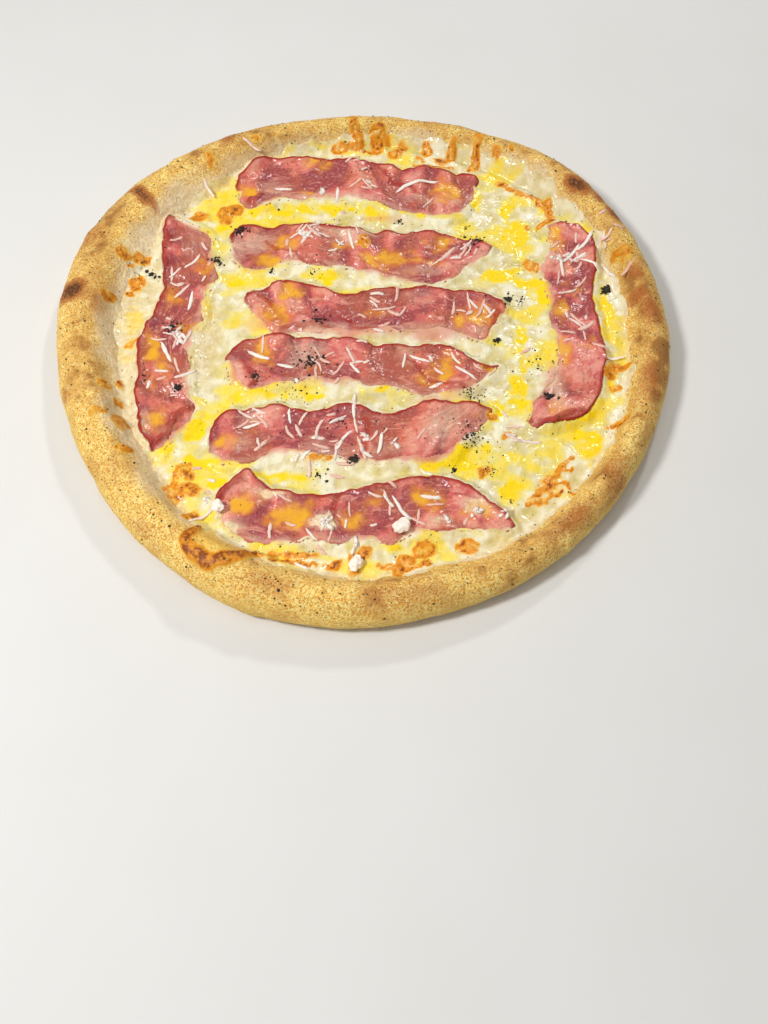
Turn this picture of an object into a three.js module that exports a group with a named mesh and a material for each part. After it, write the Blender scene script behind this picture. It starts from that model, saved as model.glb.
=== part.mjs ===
// A pizza carbonara, whole and uncut: a puffy uneven rim around a thin dough base, a layer of melted
// cheese, eight slices of bacon, six lying across and one down each side, and the largest crumbs of
// hard cheese. Millimetres, +Z up. The origin is the middle of the flat underside; +Y points to the
// far side.

import * as THREE from 'three';
import { mergeVertices } from 'three/addons/utils/BufferGeometryUtils.js';

// ---------------------------------------------------------------- driving dimensions

const PIZZA_RADIUS = 157.6; // mean, at the widest height of the rim
const LOBES = [ // slow swells of the outline: how many round the rim, how deep, where one peaks
  { count: 1, swell: 1.0, peakDeg: -94 },
  { count: 2, swell: 0.9, peakDeg: -22 },
  { count: 3, swell: 3.8, peakDeg: 28 },
  { count: 4, swell: 1.2, peakDeg: 60 },
  { count: 7, swell: 0.4, peakDeg: -5 },
];

const RIM_HEIGHT = 21; // mean height of the rim's crest above the underside
const RIM_WAVES = [ // how the crest rises and falls round the rim
  { count: 2, swell: 0.8, peakDeg: 190 },
  { count: 5, swell: 1.0, peakDeg: 262 },
  { count: 9, swell: 0.7, peakDeg: 5 },
  { count: 14, swell: 0.4, peakDeg: 17 },
];
const WIDEST_HEIGHT = 9; // where the rim stands out furthest
const FOOT_INSET = 7; // the flat underside ends this far inside the widest point
const CREST_SHARE = 0.42; // share of the rim's width outside its crest
const SLOPE_SAG = 1.5; // above 1, the inner slope runs out in a longer, flatter foot
const DOUGH_THICKNESS = 5;

const FLOOR_RADIUS = 126; // of the flat dough inside the rim
const FLOOR_CENTRE = [8, -1]; // the rim is wider on its left, so the floor lies off centre
const FLOOR_WAVES = [
  { count: 2, swell: 2.0, peakDeg: 90 },
  { count: 5, swell: 1.0, peakDeg: 100 },
  { count: 11, swell: 0.8, peakDeg: 40 },
];

const CHEESE_THICKNESS = 4;
const CHEESE_EDGE_HEIGHT = 3.2; // how far the cheese reaches up the rim's inner slope
const CHEESE_SWELLS = [ // gentle rise and fall of the cheese: depth, wavelength along x and along y
  { depth: 0.5, lengthX: 110, lengthY: 95, shift: 0.4 },
  { depth: 0.4, lengthX: 52, lengthY: 61, shift: 1.9 },
];

const BACON_THICKNESS = 1.6;
const GAP = 0.4; // left between the dough and the cheese
const SEAT_GAP = 0.6; // left under the lowest parts of a slice

const ROUND_STEPS = 96; // facets round the pizza
const SLICE_STEPS = 22; // facets along a slice
const SLICE_LANES = 6; // facets across a slice

// ---------------------------------------------------------------- colours and finishes

const FINISHES = {
  crust: { color: 0xd6a763, roughness: 0.85, metalness: 0 },
  cheese: { color: 0xf0e7b4, roughness: 0.4, metalness: 0 },
  bacon: { color: 0xc9686b, roughness: 0.35, metalness: 0 },
  hardCheese: { color: 0xf3e6c8, roughness: 0.6, metalness: 0 },
};

// ---------------------------------------------------------------- shared shape functions

const { lerp, degToRad } = THREE.MathUtils;

function waves(list, angle) {
  return list.reduce((sum, w) => sum + w.swell * Math.cos(w.count * (angle - degToRad(w.peakDeg))), 0);
}

const rimOuter = (angle) => PIZZA_RADIUS + waves(LOBES, angle);
const rimHeight = (angle) => RIM_HEIGHT + waves(RIM_WAVES, angle);

// Distance from the origin to the edge of the off-centre floor, along a ray.
function rimInner(angle) {
  const [cx, cy] = FLOOR_CENTRE;
  const along = cx * Math.cos(angle) + cy * Math.sin(angle);
  const aside = cx * Math.sin(angle) - cy * Math.cos(angle);
  return along + Math.sqrt(FLOOR_RADIUS ** 2 - aside ** 2) + waves(FLOOR_WAVES, angle);
}

// Radius and height of the rim's inner slope, from its crest (share 0) down to the floor (share 1).
function innerSlope(angle, share) {
  const outer = rimOuter(angle);
  const width = outer - rimInner(angle);
  const crest = outer - CREST_SHARE * width;
  const drop = ((1 + Math.cos(Math.PI * share)) / 2) ** SLOPE_SAG;
  return {
    radius: lerp(crest, outer - width, share),
    height: DOUGH_THICKNESS + (rimHeight(angle) - DOUGH_THICKNESS) * drop,
  };
}

function slopeShareAtRise(angle, rise) {
  const drop = (rise / (rimHeight(angle) - DOUGH_THICKNESS)) ** (1 / SLOPE_SAG);
  return Math.acos(2 * drop - 1) / Math.PI;
}

// Top of the cheese anywhere inside the rim.
function cheeseTop(x, y) {
  let height = DOUGH_THICKNESS + CHEESE_THICKNESS;
  for (const s of CHEESE_SWELLS) {
    const alongX = 2 * Math.PI * x / s.lengthX + s.shift;
    const alongY = 2 * Math.PI * y / s.lengthY - s.shift;
    height += s.depth * Math.sin(alongX) * Math.cos(alongY);
  }
  return height;
}

// What a slice of bacon lies on: the cheese, or the rim's inner slope where that stands higher.
function restingHeight(x, y) {
  const angle = Math.atan2(y, x);
  const crest = innerSlope(angle, 0).radius;
  const share = (crest - Math.hypot(x, y)) / (crest - rimInner(angle));
  const slope = innerSlope(angle, THREE.MathUtils.clamp(share, 0, 1)).height;
  return Math.max(cheeseTop(x, y), slope);
}

// ---------------------------------------------------------------- mesh making

function closedGeometry(points, triangles) {
  const geometry = new THREE.BufferGeometry();
  geometry.setAttribute('position', new THREE.Float32BufferAttribute(points.flat(), 3));
  geometry.setIndex(triangles.flat());
  geometry.computeVertexNormals();
  return geometry;
}

function namedMesh(name, geometry, finish) {
  const mesh = new THREE.Mesh(geometry, new THREE.MeshStandardMaterial(finish));
  mesh.name = name;
  return mesh;
}

// A body made of rings about the Z axis, closed by a point at each end. profileAt(angle) lists
// { radius, height } from the underside, round the outside, to the top.
function ringBody(profileAt, bottomHeight, topHeight) {
  const points = [];
  const triangles = [];
  for (let i = 0; i < ROUND_STEPS; i++) {
    const angle = 2 * Math.PI * i / ROUND_STEPS;
    for (const p of profileAt(angle)) {
      points.push([p.radius * Math.cos(angle), p.radius * Math.sin(angle), p.height]);
    }
  }
  const rings = points.length / ROUND_STEPS;
  const bottom = points.push([0, 0, bottomHeight]) - 1;
  const top = points.push([0, 0, topHeight]) - 1;
  for (let i = 0; i < ROUND_STEPS; i++) {
    const here = i * rings;
    const next = (i + 1) % ROUND_STEPS * rings;
    for (let j = 0; j < rings - 1; j++) {
      triangles.push([here + j, next + j, next + j + 1], [here + j, next + j + 1, here + j + 1]);
    }
    triangles.push([bottom, next, here], [top, here + rings - 1, next + rings - 1]);
  }
  return closedGeometry(points, triangles);
}

// ---------------------------------------------------------------- crust

const OUTER_ARC_DEG = [-55, -25, 0, 25, 48, 70]; // stations from the foot round to the crest
const SLOPE_SHARES = [0, 0.18, 0.36, 0.54, 0.72, 0.88, 1];

function crustProfile(angle) {
  const outer = rimOuter(angle);
  const reach = CREST_SHARE * (outer - rimInner(angle));
  const foot = { radius: outer - FOOT_INSET, height: 0 };
  const arc = OUTER_ARC_DEG.map((deg) => {
    const turn = degToRad(deg);
    const below = deg < 0;
    const depth = below ? FOOT_INSET : reach;
    const rise = below ? WIDEST_HEIGHT : rimHeight(angle) - WIDEST_HEIGHT;
    return { radius: outer - depth * (1 - Math.cos(turn)), height: WIDEST_HEIGHT + rise * Math.sin(turn) };
  });
  return [foot, ...arc, ...SLOPE_SHARES.map((share) => innerSlope(angle, share))];
}

function makeCrust() {
  return namedMesh('crust', ringBody(crustProfile, 0, DOUGH_THICKNESS), FINISHES.crust);
}

// ---------------------------------------------------------------- cheese layer

const CHEESE_RINGS = [0.96, 0.88, 0.78, 0.67, 0.55, 0.42, 0.27, 0.12]; // shares of its edge radius
const EDGE_INSET = 0.8; // keeps the side of the cheese clear of the rim's slope

function cheeseProfile(angle) {
  const share = slopeShareAtRise(angle, CHEESE_EDGE_HEIGHT);
  const edge = innerSlope(angle, share).radius - EDGE_INSET;
  const under = { radius: rimInner(angle) - EDGE_INSET, height: DOUGH_THICKNESS + GAP };
  const lip = { radius: edge, height: DOUGH_THICKNESS + CHEESE_EDGE_HEIGHT };
  const top = CHEESE_RINGS.map((ring) => {
    const radius = ring * edge;
    return { radius, height: cheeseTop(radius * Math.cos(angle), radius * Math.sin(angle)) };
  });
  return [under, lip, ...top];
}

function makeCheese() {
  const geometry = ringBody(cheeseProfile, DOUGH_THICKNESS + GAP, cheeseTop(0, 0));
  return namedMesh('cheese_layer', geometry, FINISHES.cheese);
}

// ---------------------------------------------------------------- bacon slices

// Each slice is drawn by its two long edges, seen from above: left and right as one looks along it,
// both from its first end to its last. ripples are the waves along the slice, lift is how high they
// rise, and turn sets where they start.
const SLICES = [
  {
    name: 'bacon_row_1',
    left: [[-70, 100], [-67, 109], [-60, 117.5], [-42, 120.5], [-20, 120], [-9, 119.5], [2, 119], [12, 115],
      [22, 111], [37, 115], [50, 110.5], [62, 108.5], [66, 104]],
    right: [[-69, 93], [-65, 84], [-58, 83], [-50, 89.5], [-36, 91], [-20, 90.5], [-8, 90], [3, 90.5],
      [14, 87], [25, 81.5], [38, 78], [52, 77], [60, 90]],
    ripples: 3, lift: 1.6, turn: 0.3,
  },
  {
    name: 'bacon_row_2',
    left: [[-71, 64], [-68, 69.5], [-55, 70.5], [-40, 71], [-32, 72.8], [-18, 70.5], [0, 68], [14, 66],
      [24, 65.5], [35, 68], [50, 63.5], [63, 60.5], [69, 55]],
    right: [[-71, 57], [-69, 47], [-57, 38.5], [-46, 43], [-33, 46.5], [-18, 42], [-8, 43], [0, 38],
      [12, 36.5], [24, 31.5], [38, 30.5], [50, 36.5], [68, 52.5]],
    ripples: 3, lift: 1.6, turn: 2.1,
  },
  {
    name: 'bacon_row_3',
    left: [[-60.5, 21.5], [-54, 26.5], [-45, 31.5], [-28, 31], [-16, 25.5], [-5, 21.8], [5, 29.3],
      [20, 28.3], [36, 29.5], [48, 26.5], [62, 27], [71, 22], [76, 15]],
    right: [[-59.5, 19], [-55, 9], [-50, 2], [-40, 0], [-25, -1], [-8, 0.5], [4, 0.5], [17, 2],
      [27, 0], [40, 2], [52, -1], [63, -7], [69, 5], [75.5, 12]],
    ripples: 4, lift: 1.5, turn: 4.0,
  },
  {
    name: 'bacon_row_4',
    left: [[-68, -15], [-64, -5.5], [-52, -3.5], [-33, -3], [-15, -4.5], [-2, -4.5], [9, -10], [17, -6.5],
      [26, -9.5], [37, -7], [50, -12], [60, -20], [70, -20]],
    right: [[-68, -22], [-64, -33], [-54, -37.5], [-44, -32], [-30, -30.5], [-15, -32], [-3, -30.5],
      [5, -35], [15, -33], [28, -38.5], [42, -39], [56, -36], [68, -23]],
    ripples: 3, lift: 1.6, turn: 5.2,
  },
  {
    name: 'bacon_row_5',
    left: [[-73, -65], [-71, -53], [-63, -47.5], [-48, -46.5], [-38, -44], [-28, -48.5], [-17, -45],
      [0, -44], [10, -50.5], [25, -45], [42, -42.5], [57, -45], [66, -47.5]],
    right: [[-73, -72], [-68, -77.5], [-56, -78], [-44, -73.5], [-30, -73.5], [-16, -73], [-4, -75],
      [8, -78], [22, -78.5], [38, -79], [46, -71], [55, -60], [65, -50.5]],
    ripples: 4, lift: 1.5, turn: 1.2,
  },
  {
    name: 'bacon_row_6',
    left: [[-67.5, -97], [-63, -90], [-52, -80.5], [-46, -90], [-34, -94], [-18, -94.5], [-2, -92.5],
      [12, -89], [28, -86], [42, -86], [54, -92], [65, -102], [73, -110]],
    right: [[-67, -103], [-64, -112], [-57, -118.5], [-45, -118.5], [-37, -121], [-24, -118], [-9, -121],
      [6, -118.5], [18, -120], [30, -115.5], [44, -114], [58, -113.5], [71, -113]],
    ripples: 3, lift: 1.8, turn: 2.8,
  },
  {
    name: 'bacon_left',
    left: [[-101, 79], [-93, 73.5], [-82, 67], [-80, 52], [-76, 40], [-80, 26], [-82, 10], [-85.5, -3],
      [-85.5, -20], [-86, -34], [-79.5, -43], [-84, -57], [-95, -69]],
    right: [[-105, 79], [-107.5, 72], [-107, 58], [-105, 40], [-105, 24], [-108.5, 9], [-112, -4],
      [-113, -18], [-112, -32], [-109.5, -47], [-107, -58], [-103, -67.5], [-100, -70]],
    ripples: 3, lift: 1.6, turn: 0.9,
  },
  {
    name: 'bacon_right',
    left: [[103.5, 73], [115.5, 71], [122.5, 64.5], [125, 52], [123, 37.5], [121.5, 22], [122, 8], [124, -8],
      [122.5, -22], [119, -38], [112, -50], [98, -55], [86, -57.5]],
    right: [[101.5, 72], [100.5, 62], [97.5, 51], [93.5, 38], [97, 26], [97, 10], [99.5, -5],
      [99.5, -18], [96, -27], [91, -33], [85, -40.5], [83.5, -48], [82, -54]],
    ripples: 3, lift: 1.6, turn: 3.6,
  },
];

// The closed sheet of one slice: matching grids of points under and over it.
function sliceGrids(slice) {
  const [left, right] = [slice.left, slice.right].map(
    (edge) => new THREE.CatmullRomCurve3(edge.map(([x, y]) => new THREE.Vector3(x, y, 0))),
  );
  const under = [];
  const over = [];
  for (let i = 0; i <= SLICE_STEPS; i++) {
    const share = i / SLICE_STEPS;
    const [from, to] = [right.getPointAt(share), left.getPointAt(share)];
    for (let j = 0; j <= SLICE_LANES; j++) {
      const { x, y } = new THREE.Vector3().lerpVectors(from, to, j / SLICE_LANES);
      const across = 2 * j / SLICE_LANES - 1; // -1 at the right edge, 1 at the left edge
      const wave = 0.5 - 0.5 * Math.cos(2 * Math.PI * slice.ripples * share + slice.turn + across);
      const height = restingHeight(x, y) + SEAT_GAP + slice.lift * wave * (0.3 + 0.7 * across ** 2);
      under.push([x, y, height]);
      over.push([x, y, height + BACON_THICKNESS]);
    }
  }
  return { name: slice.name, under, over };
}

function makeSlice({ name, under, over }) {
  return namedMesh(name, sheetBody(under, over, SLICE_STEPS, SLICE_LANES), FINISHES.bacon);
}

// A thin closed body from two matching grids of points, the second above the first.
function sheetBody(under, over, steps, lanes) {
  const row = lanes + 1;
  const lift = under.length;
  const triangles = [];
  const quad = (a, b, c, d) => triangles.push([a, b, c], [a, c, d]);
  for (let i = 0; i < steps; i++) {
    for (let j = 0; j < lanes; j++) {
      const a = i * row + j;
      quad(lift + a, lift + a + row, lift + a + row + 1, lift + a + 1);
      quad(a, a + 1, a + row + 1, a + row);
    }
    const right = i * row;
    const left = right + lanes;
    quad(right, right + row, lift + right + row, lift + right);
    quad(left + row, left, lift + left, lift + left + row);
  }
  const last = steps * row;
  for (let j = 0; j < lanes; j++) {
    quad(j + 1, j, lift + j, lift + j + 1);
    quad(last + j, last + j + 1, lift + last + j + 1, lift + last + j);
  }
  return closedGeometry([...under, ...over], triangles);
}

// ---------------------------------------------------------------- crumbs of hard cheese

// at is the middle of a crumb in plan, size its length, width and height.
const CRUMBS = [
  { name: 'cheese_crumb_1', at: [20, -113], size: [10, 8, 4.5], turnDeg: 35 },
  { name: 'cheese_crumb_2', at: [-1, -130], size: [7, 9, 4], turnDeg: -20 },
  { name: 'cheese_crumb_3', at: [-66, -103], size: [6, 8, 4], turnDeg: 25 },
];
const CHIPPING = 0.16; // how far a crumb's corners stand out or in, as a share of its size

function makeCrumb(crumb, slices) {
  const [x, y] = crumb.at;
  const reach = Math.max(...crumb.size) / 2 + 4; // takes in the facets that the crumb lies over
  const below = slices.flatMap((slice) => slice.over)
    .filter((p) => Math.hypot(p[0] - x, p[1] - y) < reach)
    .map((p) => p[2]);
  const rest = Math.max(restingHeight(x, y), restingHeight(x, y - crumb.size[1] / 2), ...below);
  const ball = new THREE.IcosahedronGeometry(0.5, 1);
  ball.deleteAttribute('normal');
  ball.deleteAttribute('uv');
  const geometry = mergeVertices(ball);
  const corners = geometry.attributes.position;
  for (let i = 0; i < corners.count; i++) {
    const chip = 1 + CHIPPING * Math.sin(i * 2.4 + x);
    corners.setXYZ(i, corners.getX(i) * chip, corners.getY(i) * chip, corners.getZ(i));
  }
  geometry.scale(...crumb.size);
  geometry.computeVertexNormals();
  const mesh = namedMesh(crumb.name, geometry, FINISHES.hardCheese);
  mesh.position.set(x, y, rest + GAP + crumb.size[2] / 2);
  mesh.rotation.z = degToRad(crumb.turnDeg);
  return mesh;
}

// ---------------------------------------------------------------- the pizza

const slices = SLICES.map(sliceGrids);
const group = new THREE.Group();
group.add(makeCrust(), makeCheese());
group.add(...slices.map(makeSlice), ...CRUMBS.map((crumb) => makeCrumb(crumb, slices)));

export default group;
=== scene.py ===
"""A pizza carbonara: baked crust, melted cheese, bacon, egg yolk, grated cheese and cracked pepper.

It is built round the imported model. The crust, each slice and each crumb are refined from their own
solids, the cheese is laid over the crust and tucked under the slices, and the fine toppings lie on top.
"""

import math

import bmesh
import bpy
import numpy as np
from bpy.props import FloatProperty, FloatVectorProperty, IntProperty, PointerProperty
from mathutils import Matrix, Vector, noise
from mathutils.bvhtree import BVHTree
from mathutils.kdtree import KDTree


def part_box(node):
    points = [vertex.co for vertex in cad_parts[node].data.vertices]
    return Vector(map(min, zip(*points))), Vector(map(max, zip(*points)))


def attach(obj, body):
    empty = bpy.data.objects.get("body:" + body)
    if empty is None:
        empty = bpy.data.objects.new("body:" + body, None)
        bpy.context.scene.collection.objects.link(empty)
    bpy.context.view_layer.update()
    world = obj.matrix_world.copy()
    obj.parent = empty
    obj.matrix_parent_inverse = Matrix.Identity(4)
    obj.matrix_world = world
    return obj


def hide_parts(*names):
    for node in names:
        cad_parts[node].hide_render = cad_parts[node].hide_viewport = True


bl_info = {
    "name": "Pizza Carbonara",
    "version": (1, 0, 0),
    "blender": (4, 5, 0),
    "location": "View3D > Sidebar > Pizza",
    "description": "Builds a pizza carbonara round its packed model",
    "category": "Add Mesh",
}

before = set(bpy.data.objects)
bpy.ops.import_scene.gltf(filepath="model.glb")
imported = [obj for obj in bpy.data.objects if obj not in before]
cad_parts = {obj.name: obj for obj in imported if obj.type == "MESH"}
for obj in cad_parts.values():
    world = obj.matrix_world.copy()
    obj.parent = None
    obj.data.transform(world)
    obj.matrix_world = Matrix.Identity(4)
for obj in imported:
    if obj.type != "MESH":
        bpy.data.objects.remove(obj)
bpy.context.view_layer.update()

MM = 0.001
ROWS = [f"bacon_row_{number}" for number in range(1, 7)]
SIDES = ["bacon_left", "bacon_right"]
CRUMBS = [f"cheese_crumb_{number}" for number in range(1, 4)]

# ------------------------------------------------------------------ where things lie
# Places are in plan, in millimetres from the middle of the pizza: +X to the right, +Y to the far side.

# Pools of egg yolk on the cheese: x, y, half length, half width, turn in degrees, strength.
YOLK_ON_CHEESE = [
    (-73, 75, 7, 4, 0, 0.9), (-50, 83, 13, 3, 0, 0.9), (-20, 86, 20, 3.5, 0, 0.8), (6, 84, 10, 4, 0, 0.8),
    (28, 82, 8, 2.5, -10, 0.5), (62, 91, 4, 7, 0, 0.9), (84, 66, 7, 9, 0, 1.0), (79, 84, 3, 10, 0, 0.7),
    (72, 38, 12, 5, 15, 0.9), (88, 33, 9, 6, 0, 0.9), (97, 27, 5, 8, 0, 1.0), (-66, 34, 5, 4, 0, 1.0),
    (-47, 36, 7, 2.5, 0, 0.5), (-20, 37, 8, 4, 0, 0.8), (-79, 12, 3, 10, 5, 0.7),
    (-118, 10, 4, 8, 0, 1.0), (-118, -6, 3, 3, 0, 0.9), (-40, -37, 22, 3, 0, 0.6),
    (9, -34, 12, 3, 0, 0.6), (82, -8, 3, 16, 8, 0.7), (79, -34, 5, 12, 0, 0.8), (68, -48, 6, 6, 0, 0.6),
    (-81, -58, 5, 7, 0, 0.9), (-76, -76, 9, 4, 0, 0.9), (-40, -84, 15, 3, 0, 0.7),
    (-69, -87, 6, 4, 0, 0.9), (48, -76, 9, 7, 0, 1.0), (33, -80, 9, 3, 10, 0.8), (72, -93, 5, 6, 0, 1.0),
    (110, -66, 8, 9, 0, 0.9), (98, -60, 6, 6, 0, 0.6), (-93, -68, 4, 4, 0, 0.9), (128, 16, 3, 14, 0, 0.8),
    (60, -68, 9, 5, 0, 0.6), (-60, -39, 4, 2, 0, 0.7), (126, -30, 3, 10, -10, 0.6),
    (100, 88, 4, 9, 0, 0.5), (-30, -127, 10, 2.5, 0, 0.4), (18, -122, 12, 2.5, 0, 0.6),
    (110, -50, 7, 4, 20, 0.8), (-86, 78, 5, 2, 0, 0.6), (88, 50, 6, 5, 0, 0.5),
]

# Yolk caught on the slices, in the same form.
YOLK_ON_BACON = [
    (-63, 97, 5, 6, 20, 1.0), (-25, 116, 9, 5, 0, 0.7), (47, 95, 8, 8, 0, 0.8), (-30, 97, 6, 3, 0, 0.6),
    (-40, 60, 9, 6, -10, 0.8), (-49, 48, 7, 6, 0, 0.9), (12, 49, 14, 7, 10, 0.8), (42, 58, 8, 5, 0, 0.6),
    (-10, 57, 5, 5, 0, 0.5), (30, 47, 12, 4, 0, 0.7), (-38, 26, 6, 6, 0, 0.9), (-45, 12, 8, 7, 0, 0.9),
    (62, 11, 8, 8, 0, 0.8), (50, 8, 4, 6, 0, 0.6), (8, 11, 6, 4, 0, 0.5), (-50, -12, 5, 10, 0, 0.8),
    (42, -22, 6, 10, 0, 0.8), (34, -28, 10, 5, 0, 0.6), (-22, -24, 5, 4, 0, 0.3),
    (-66, -66, 6, 5, 0, 0.7), (-54, -58, 6, 5, 0, 0.3), (-55, -99, 7, 5, 20, 0.9),
    (-31, -106, 10, 7, 0, 1.0), (-3, -108, 7, 5, 0, 0.8), (32, -97, 8, 5, -20, 0.8),
    (57, -104, 7, 5, 0, 0.7), (8, -96, 6, 4, 0, 0.5), (-99, 25, 5, 9, 0, 0.6), (-83, 44, 5, 7, 0, 0.6),
    (-107, -10, 5, 9, 0, 0.8), (-100, -22, 8, 8, 0, 0.5), (-99, -54, 6, 6, 0, 0.7),
    (-90, 4, 5, 5, 0, 0.4), (104, 62, 6, 8, 0, 0.9), (103, -11, 4, 7, 0, 1.0), (97, -45, 5, 6, 0, 0.6),
    (104, 14, 4, 10, 0, 0.7), (112, 28, 8, 6, 0, 0.4), (116, -8, 4, 5, 0, 0.4), (111, 44, 6, 5, 0, 0.3),
]

# Pale fat, or cream run over a slice, in the same form.
PALE_ON_BACON = [
    (-58, 60, 12, 6, 10, 0.7), (-68, 56, 5, 9, 0, 0.6), (0, 68, 22, 4, 0, 0.9), (-8, 62, 8, 4, 0, 0.7),
    (-25, 43, 18, 3, -5, 0.6), (35, 41, 14, 3, 5, 0.5), (-25, 2, 24, 4, 0, 0.8), (35, 3, 20, 3, 0, 0.5),
    (62, 1, 9, 5, 10, 0.6), (-28, -13, 9, 8, 0, 0.8), (-64, -26, 5, 9, 0, 0.8), (24, -12, 5, 7, 0, 0.5),
    (-20, -30, 20, 2.5, 0, 0.6), (45, -38, 16, 3, -5, 0.6), (-53, -52, 7, 5, 0, 0.5),
    (42, -55, 8, 12, -25, 0.8), (-58, -66, 5, 5, 0, 0.5), (5, -70, 20, 3, 0, 0.4),
    (-60, -112, 7, 5, 0, 0.9), (-43, -93, 10, 4, 0, 0.9), (-16, -109, 7, 4, 10, 1.9),
    (-41, -93, 7, 3, 0, 1.7), (-61, -113, 5, 4, 0, 1.9), (56, -102, 7, 4, -10, 1.7),
    (38, -108, 5, 3, 0, 1.0), (-106, -56, 5, 6, 0, 0.9), (-90, 60, 6, 8, 0, 0.3),
    (-95, -60, 7, 3, 60, 0.4), (97, -28, 5, 16, 0, 0.9), (98, -42, 4, 6, 0, 0.8),
    (-50, 100, 9, 5, 0, 0.5), (-30, 93, 22, 2.5, 0, 0.6), (38, 90, 16, 3, -8, 0.5),
    (-55, 22, 5, 5, 0, 0.3), (30, 22, 8, 5, 0, 0.3), (100, 52, 5, 10, 0, 0.5), (-22, -68, 6, 4, 0, 0.4),
    (58, -48, 9, 4, 0, 0.5),
]

# Browned spots on the cheese and on the pale inner slope of the rim, in the same form.
BROWNED = [
    (-83, -82, 4, 3.5, 0, 1), (-87, -91, 5, 3.5, 0, 1), (-80, -90, 4, 3, 40, 0.9),
    (-79, -106, 3, 2.5, 0, 0.9), (-39, -126, 3.5, 1.6, 0, 0.8), (-26, -126, 7, 2, 8, 1),
    (-13, -130, 3.5, 1.8, 20, 0.8), (1, -124, 4, 3, 0, 1), (-4, -131, 2, 5.5, 10, 1),
    (22, -128, 5, 3, 20, 0.9), (31, -123, 4, 4, 0, 1), (18, -134, 2, 3, 0, 0.8), (50, -121, 4, 3, 10, 1),
    (83, -97, 3, 3.5, 30, 0.8), (91, -88, 11, 6, 45, 0.3), (60, -82, 3, 2.5, 0, 0.7),
    (72, -62, 3, 2, 0, 0.5), (128, -55, 5, 2, 10, 1), (129, -21, 7, 2.2, 12, 1),
    (124, -25, 3.5, 2.6, 30, 0.9), (19, 128, 5, 3.5, 30, 1), (36, 128, 4, 2.5, -40, 0.9),
    (44, 121, 4, 2.8, 0, 1), (50, 127, 2.5, 4, -15, 1), (75, 120, 2, 3, 0, 0.9), (84, 121, 2, 3, 0, 0.8),
    (83, 101, 5, 2, -20, 0.7), (-12, 129, 4, 3.5, 0, 0.7), (90, 72, 2, 2, 0, 0.6),
    (91, 46, 4.5, 3.5, 0, 1), (-73, 82, 6, 4.5, 20, 1), (-88, 80, 4, 2.5, 0, 0.8), (-126, 47, 3, 3, 0, 1),
    (-118, 48, 3.5, 3, 0, 0.9), (-119, 33, 3.5, 4.5, 0, 0.7), (-132, 20, 2.5, 3.5, 0, 1),
    (-122, 25, 2.5, 2, 0, 0.7), (-127, -36, 2.6, 2.6, 0, 1), (-120, -32, 2.8, 2.6, 0, 1),
    (-128, -56, 2.6, 2.4, 0, 1), (-124, -55, 2, 2, 0, 0.8), (-117, -57, 2.6, 4, 5, 1),
    (-113, -74, 3, 2, 0, 1), (-117, -7, 4, 1.8, 0, 0.8), (-121, -44, 2, 2.4, 0, 0.8),
    (-84, 112, 2.2, 5, 10, 0.6), (0, 60, 3.5, 3.5, 0, 1), (-20, -74, 6, 2.2, 0, 0.6),
    (66, -50, 2.5, 2, 0, 0.9), (138, 47, 5, 3.5, -15, 1), (127, -32, 3, 2, 30, 0.7),
    (64, -22, 3, 2, 0, 0.5), (-60, 128, 3, 3, 0, 0.3), (-5, 139, 2.6, 8, 18, 1), (9, 135, 4.5, 5, -20, 1),
    (-30, 64, 2, 1.6, 0, 0.4),
]

# Thin browned lines where bubbles met: the points along each, and its half width.
BROWNED_LINES = [
    ([(88, 97), (94, 95), (101, 91), (104, 84), (103, 77), (97, 72)], 1.9),
    ([(94, 95), (97, 88), (103, 86)], 1.1),
    ([(80, -99), (86, -92), (92, -88), (97, -80), (102, -75)], 1.5),
    ([(92, -88), (99, -88), (103, -93)], 1.0), ([(88, -99), (92, -94), (97, -92)], 1.0),
    ([(97, -80), (104, -81)], 1.0), ([(66, 131), (63, 122), (61, 114)], 2.2),
    ([(-8, 131), (0, 128), (8, 129)], 1.6), ([(28, 117), (38, 114), (50, 116)], 1.3),
    ([(30, 124), (34, 119)], 1.4), ([(-88, -84), (-91, -90), (-88, -97)], 1.4),
    ([(-47, -128), (-36, -130), (-20, -131)], 1.1), ([(10, -130), (22, -133), (34, -129)], 1.2),
    ([(74, 104), (84, 102), (90, 98)], 1.3),
]

# Where juice from the meat, or a thin slip of it, tints the cheese, in the same form as the pools.
BLUSHED = [
    (-38, 7, 18, 4.5, 0, 1.0), (0, 3, 24, 4.5, 0, 1.0), (38, 1, 20, 4.5, 0, 0.9),
    (96, -30, 4, 12, 0, 0.9), (-20, -30, 16, 2, 0, 0.5), (-60, 47, 5, 5, 0, 0.6),
    (40, -40, 10, 3, 0, 0.6), (10, 78, 12, 2, 0, 0.5),
]

# Where the cheese lies so thin that the dough shows, in the same form.
THINNED = [
    (-119, -22, 9, 50, 0, 0.75), (-80, -4, 7, 24, 0, 0.8), (-112, 26, 6, 12, 0, 0.5),
    (-96, -84, 6, 12, 30, 0.5), (62, -104, 30, 4, 20, 0.3),
]

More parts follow.
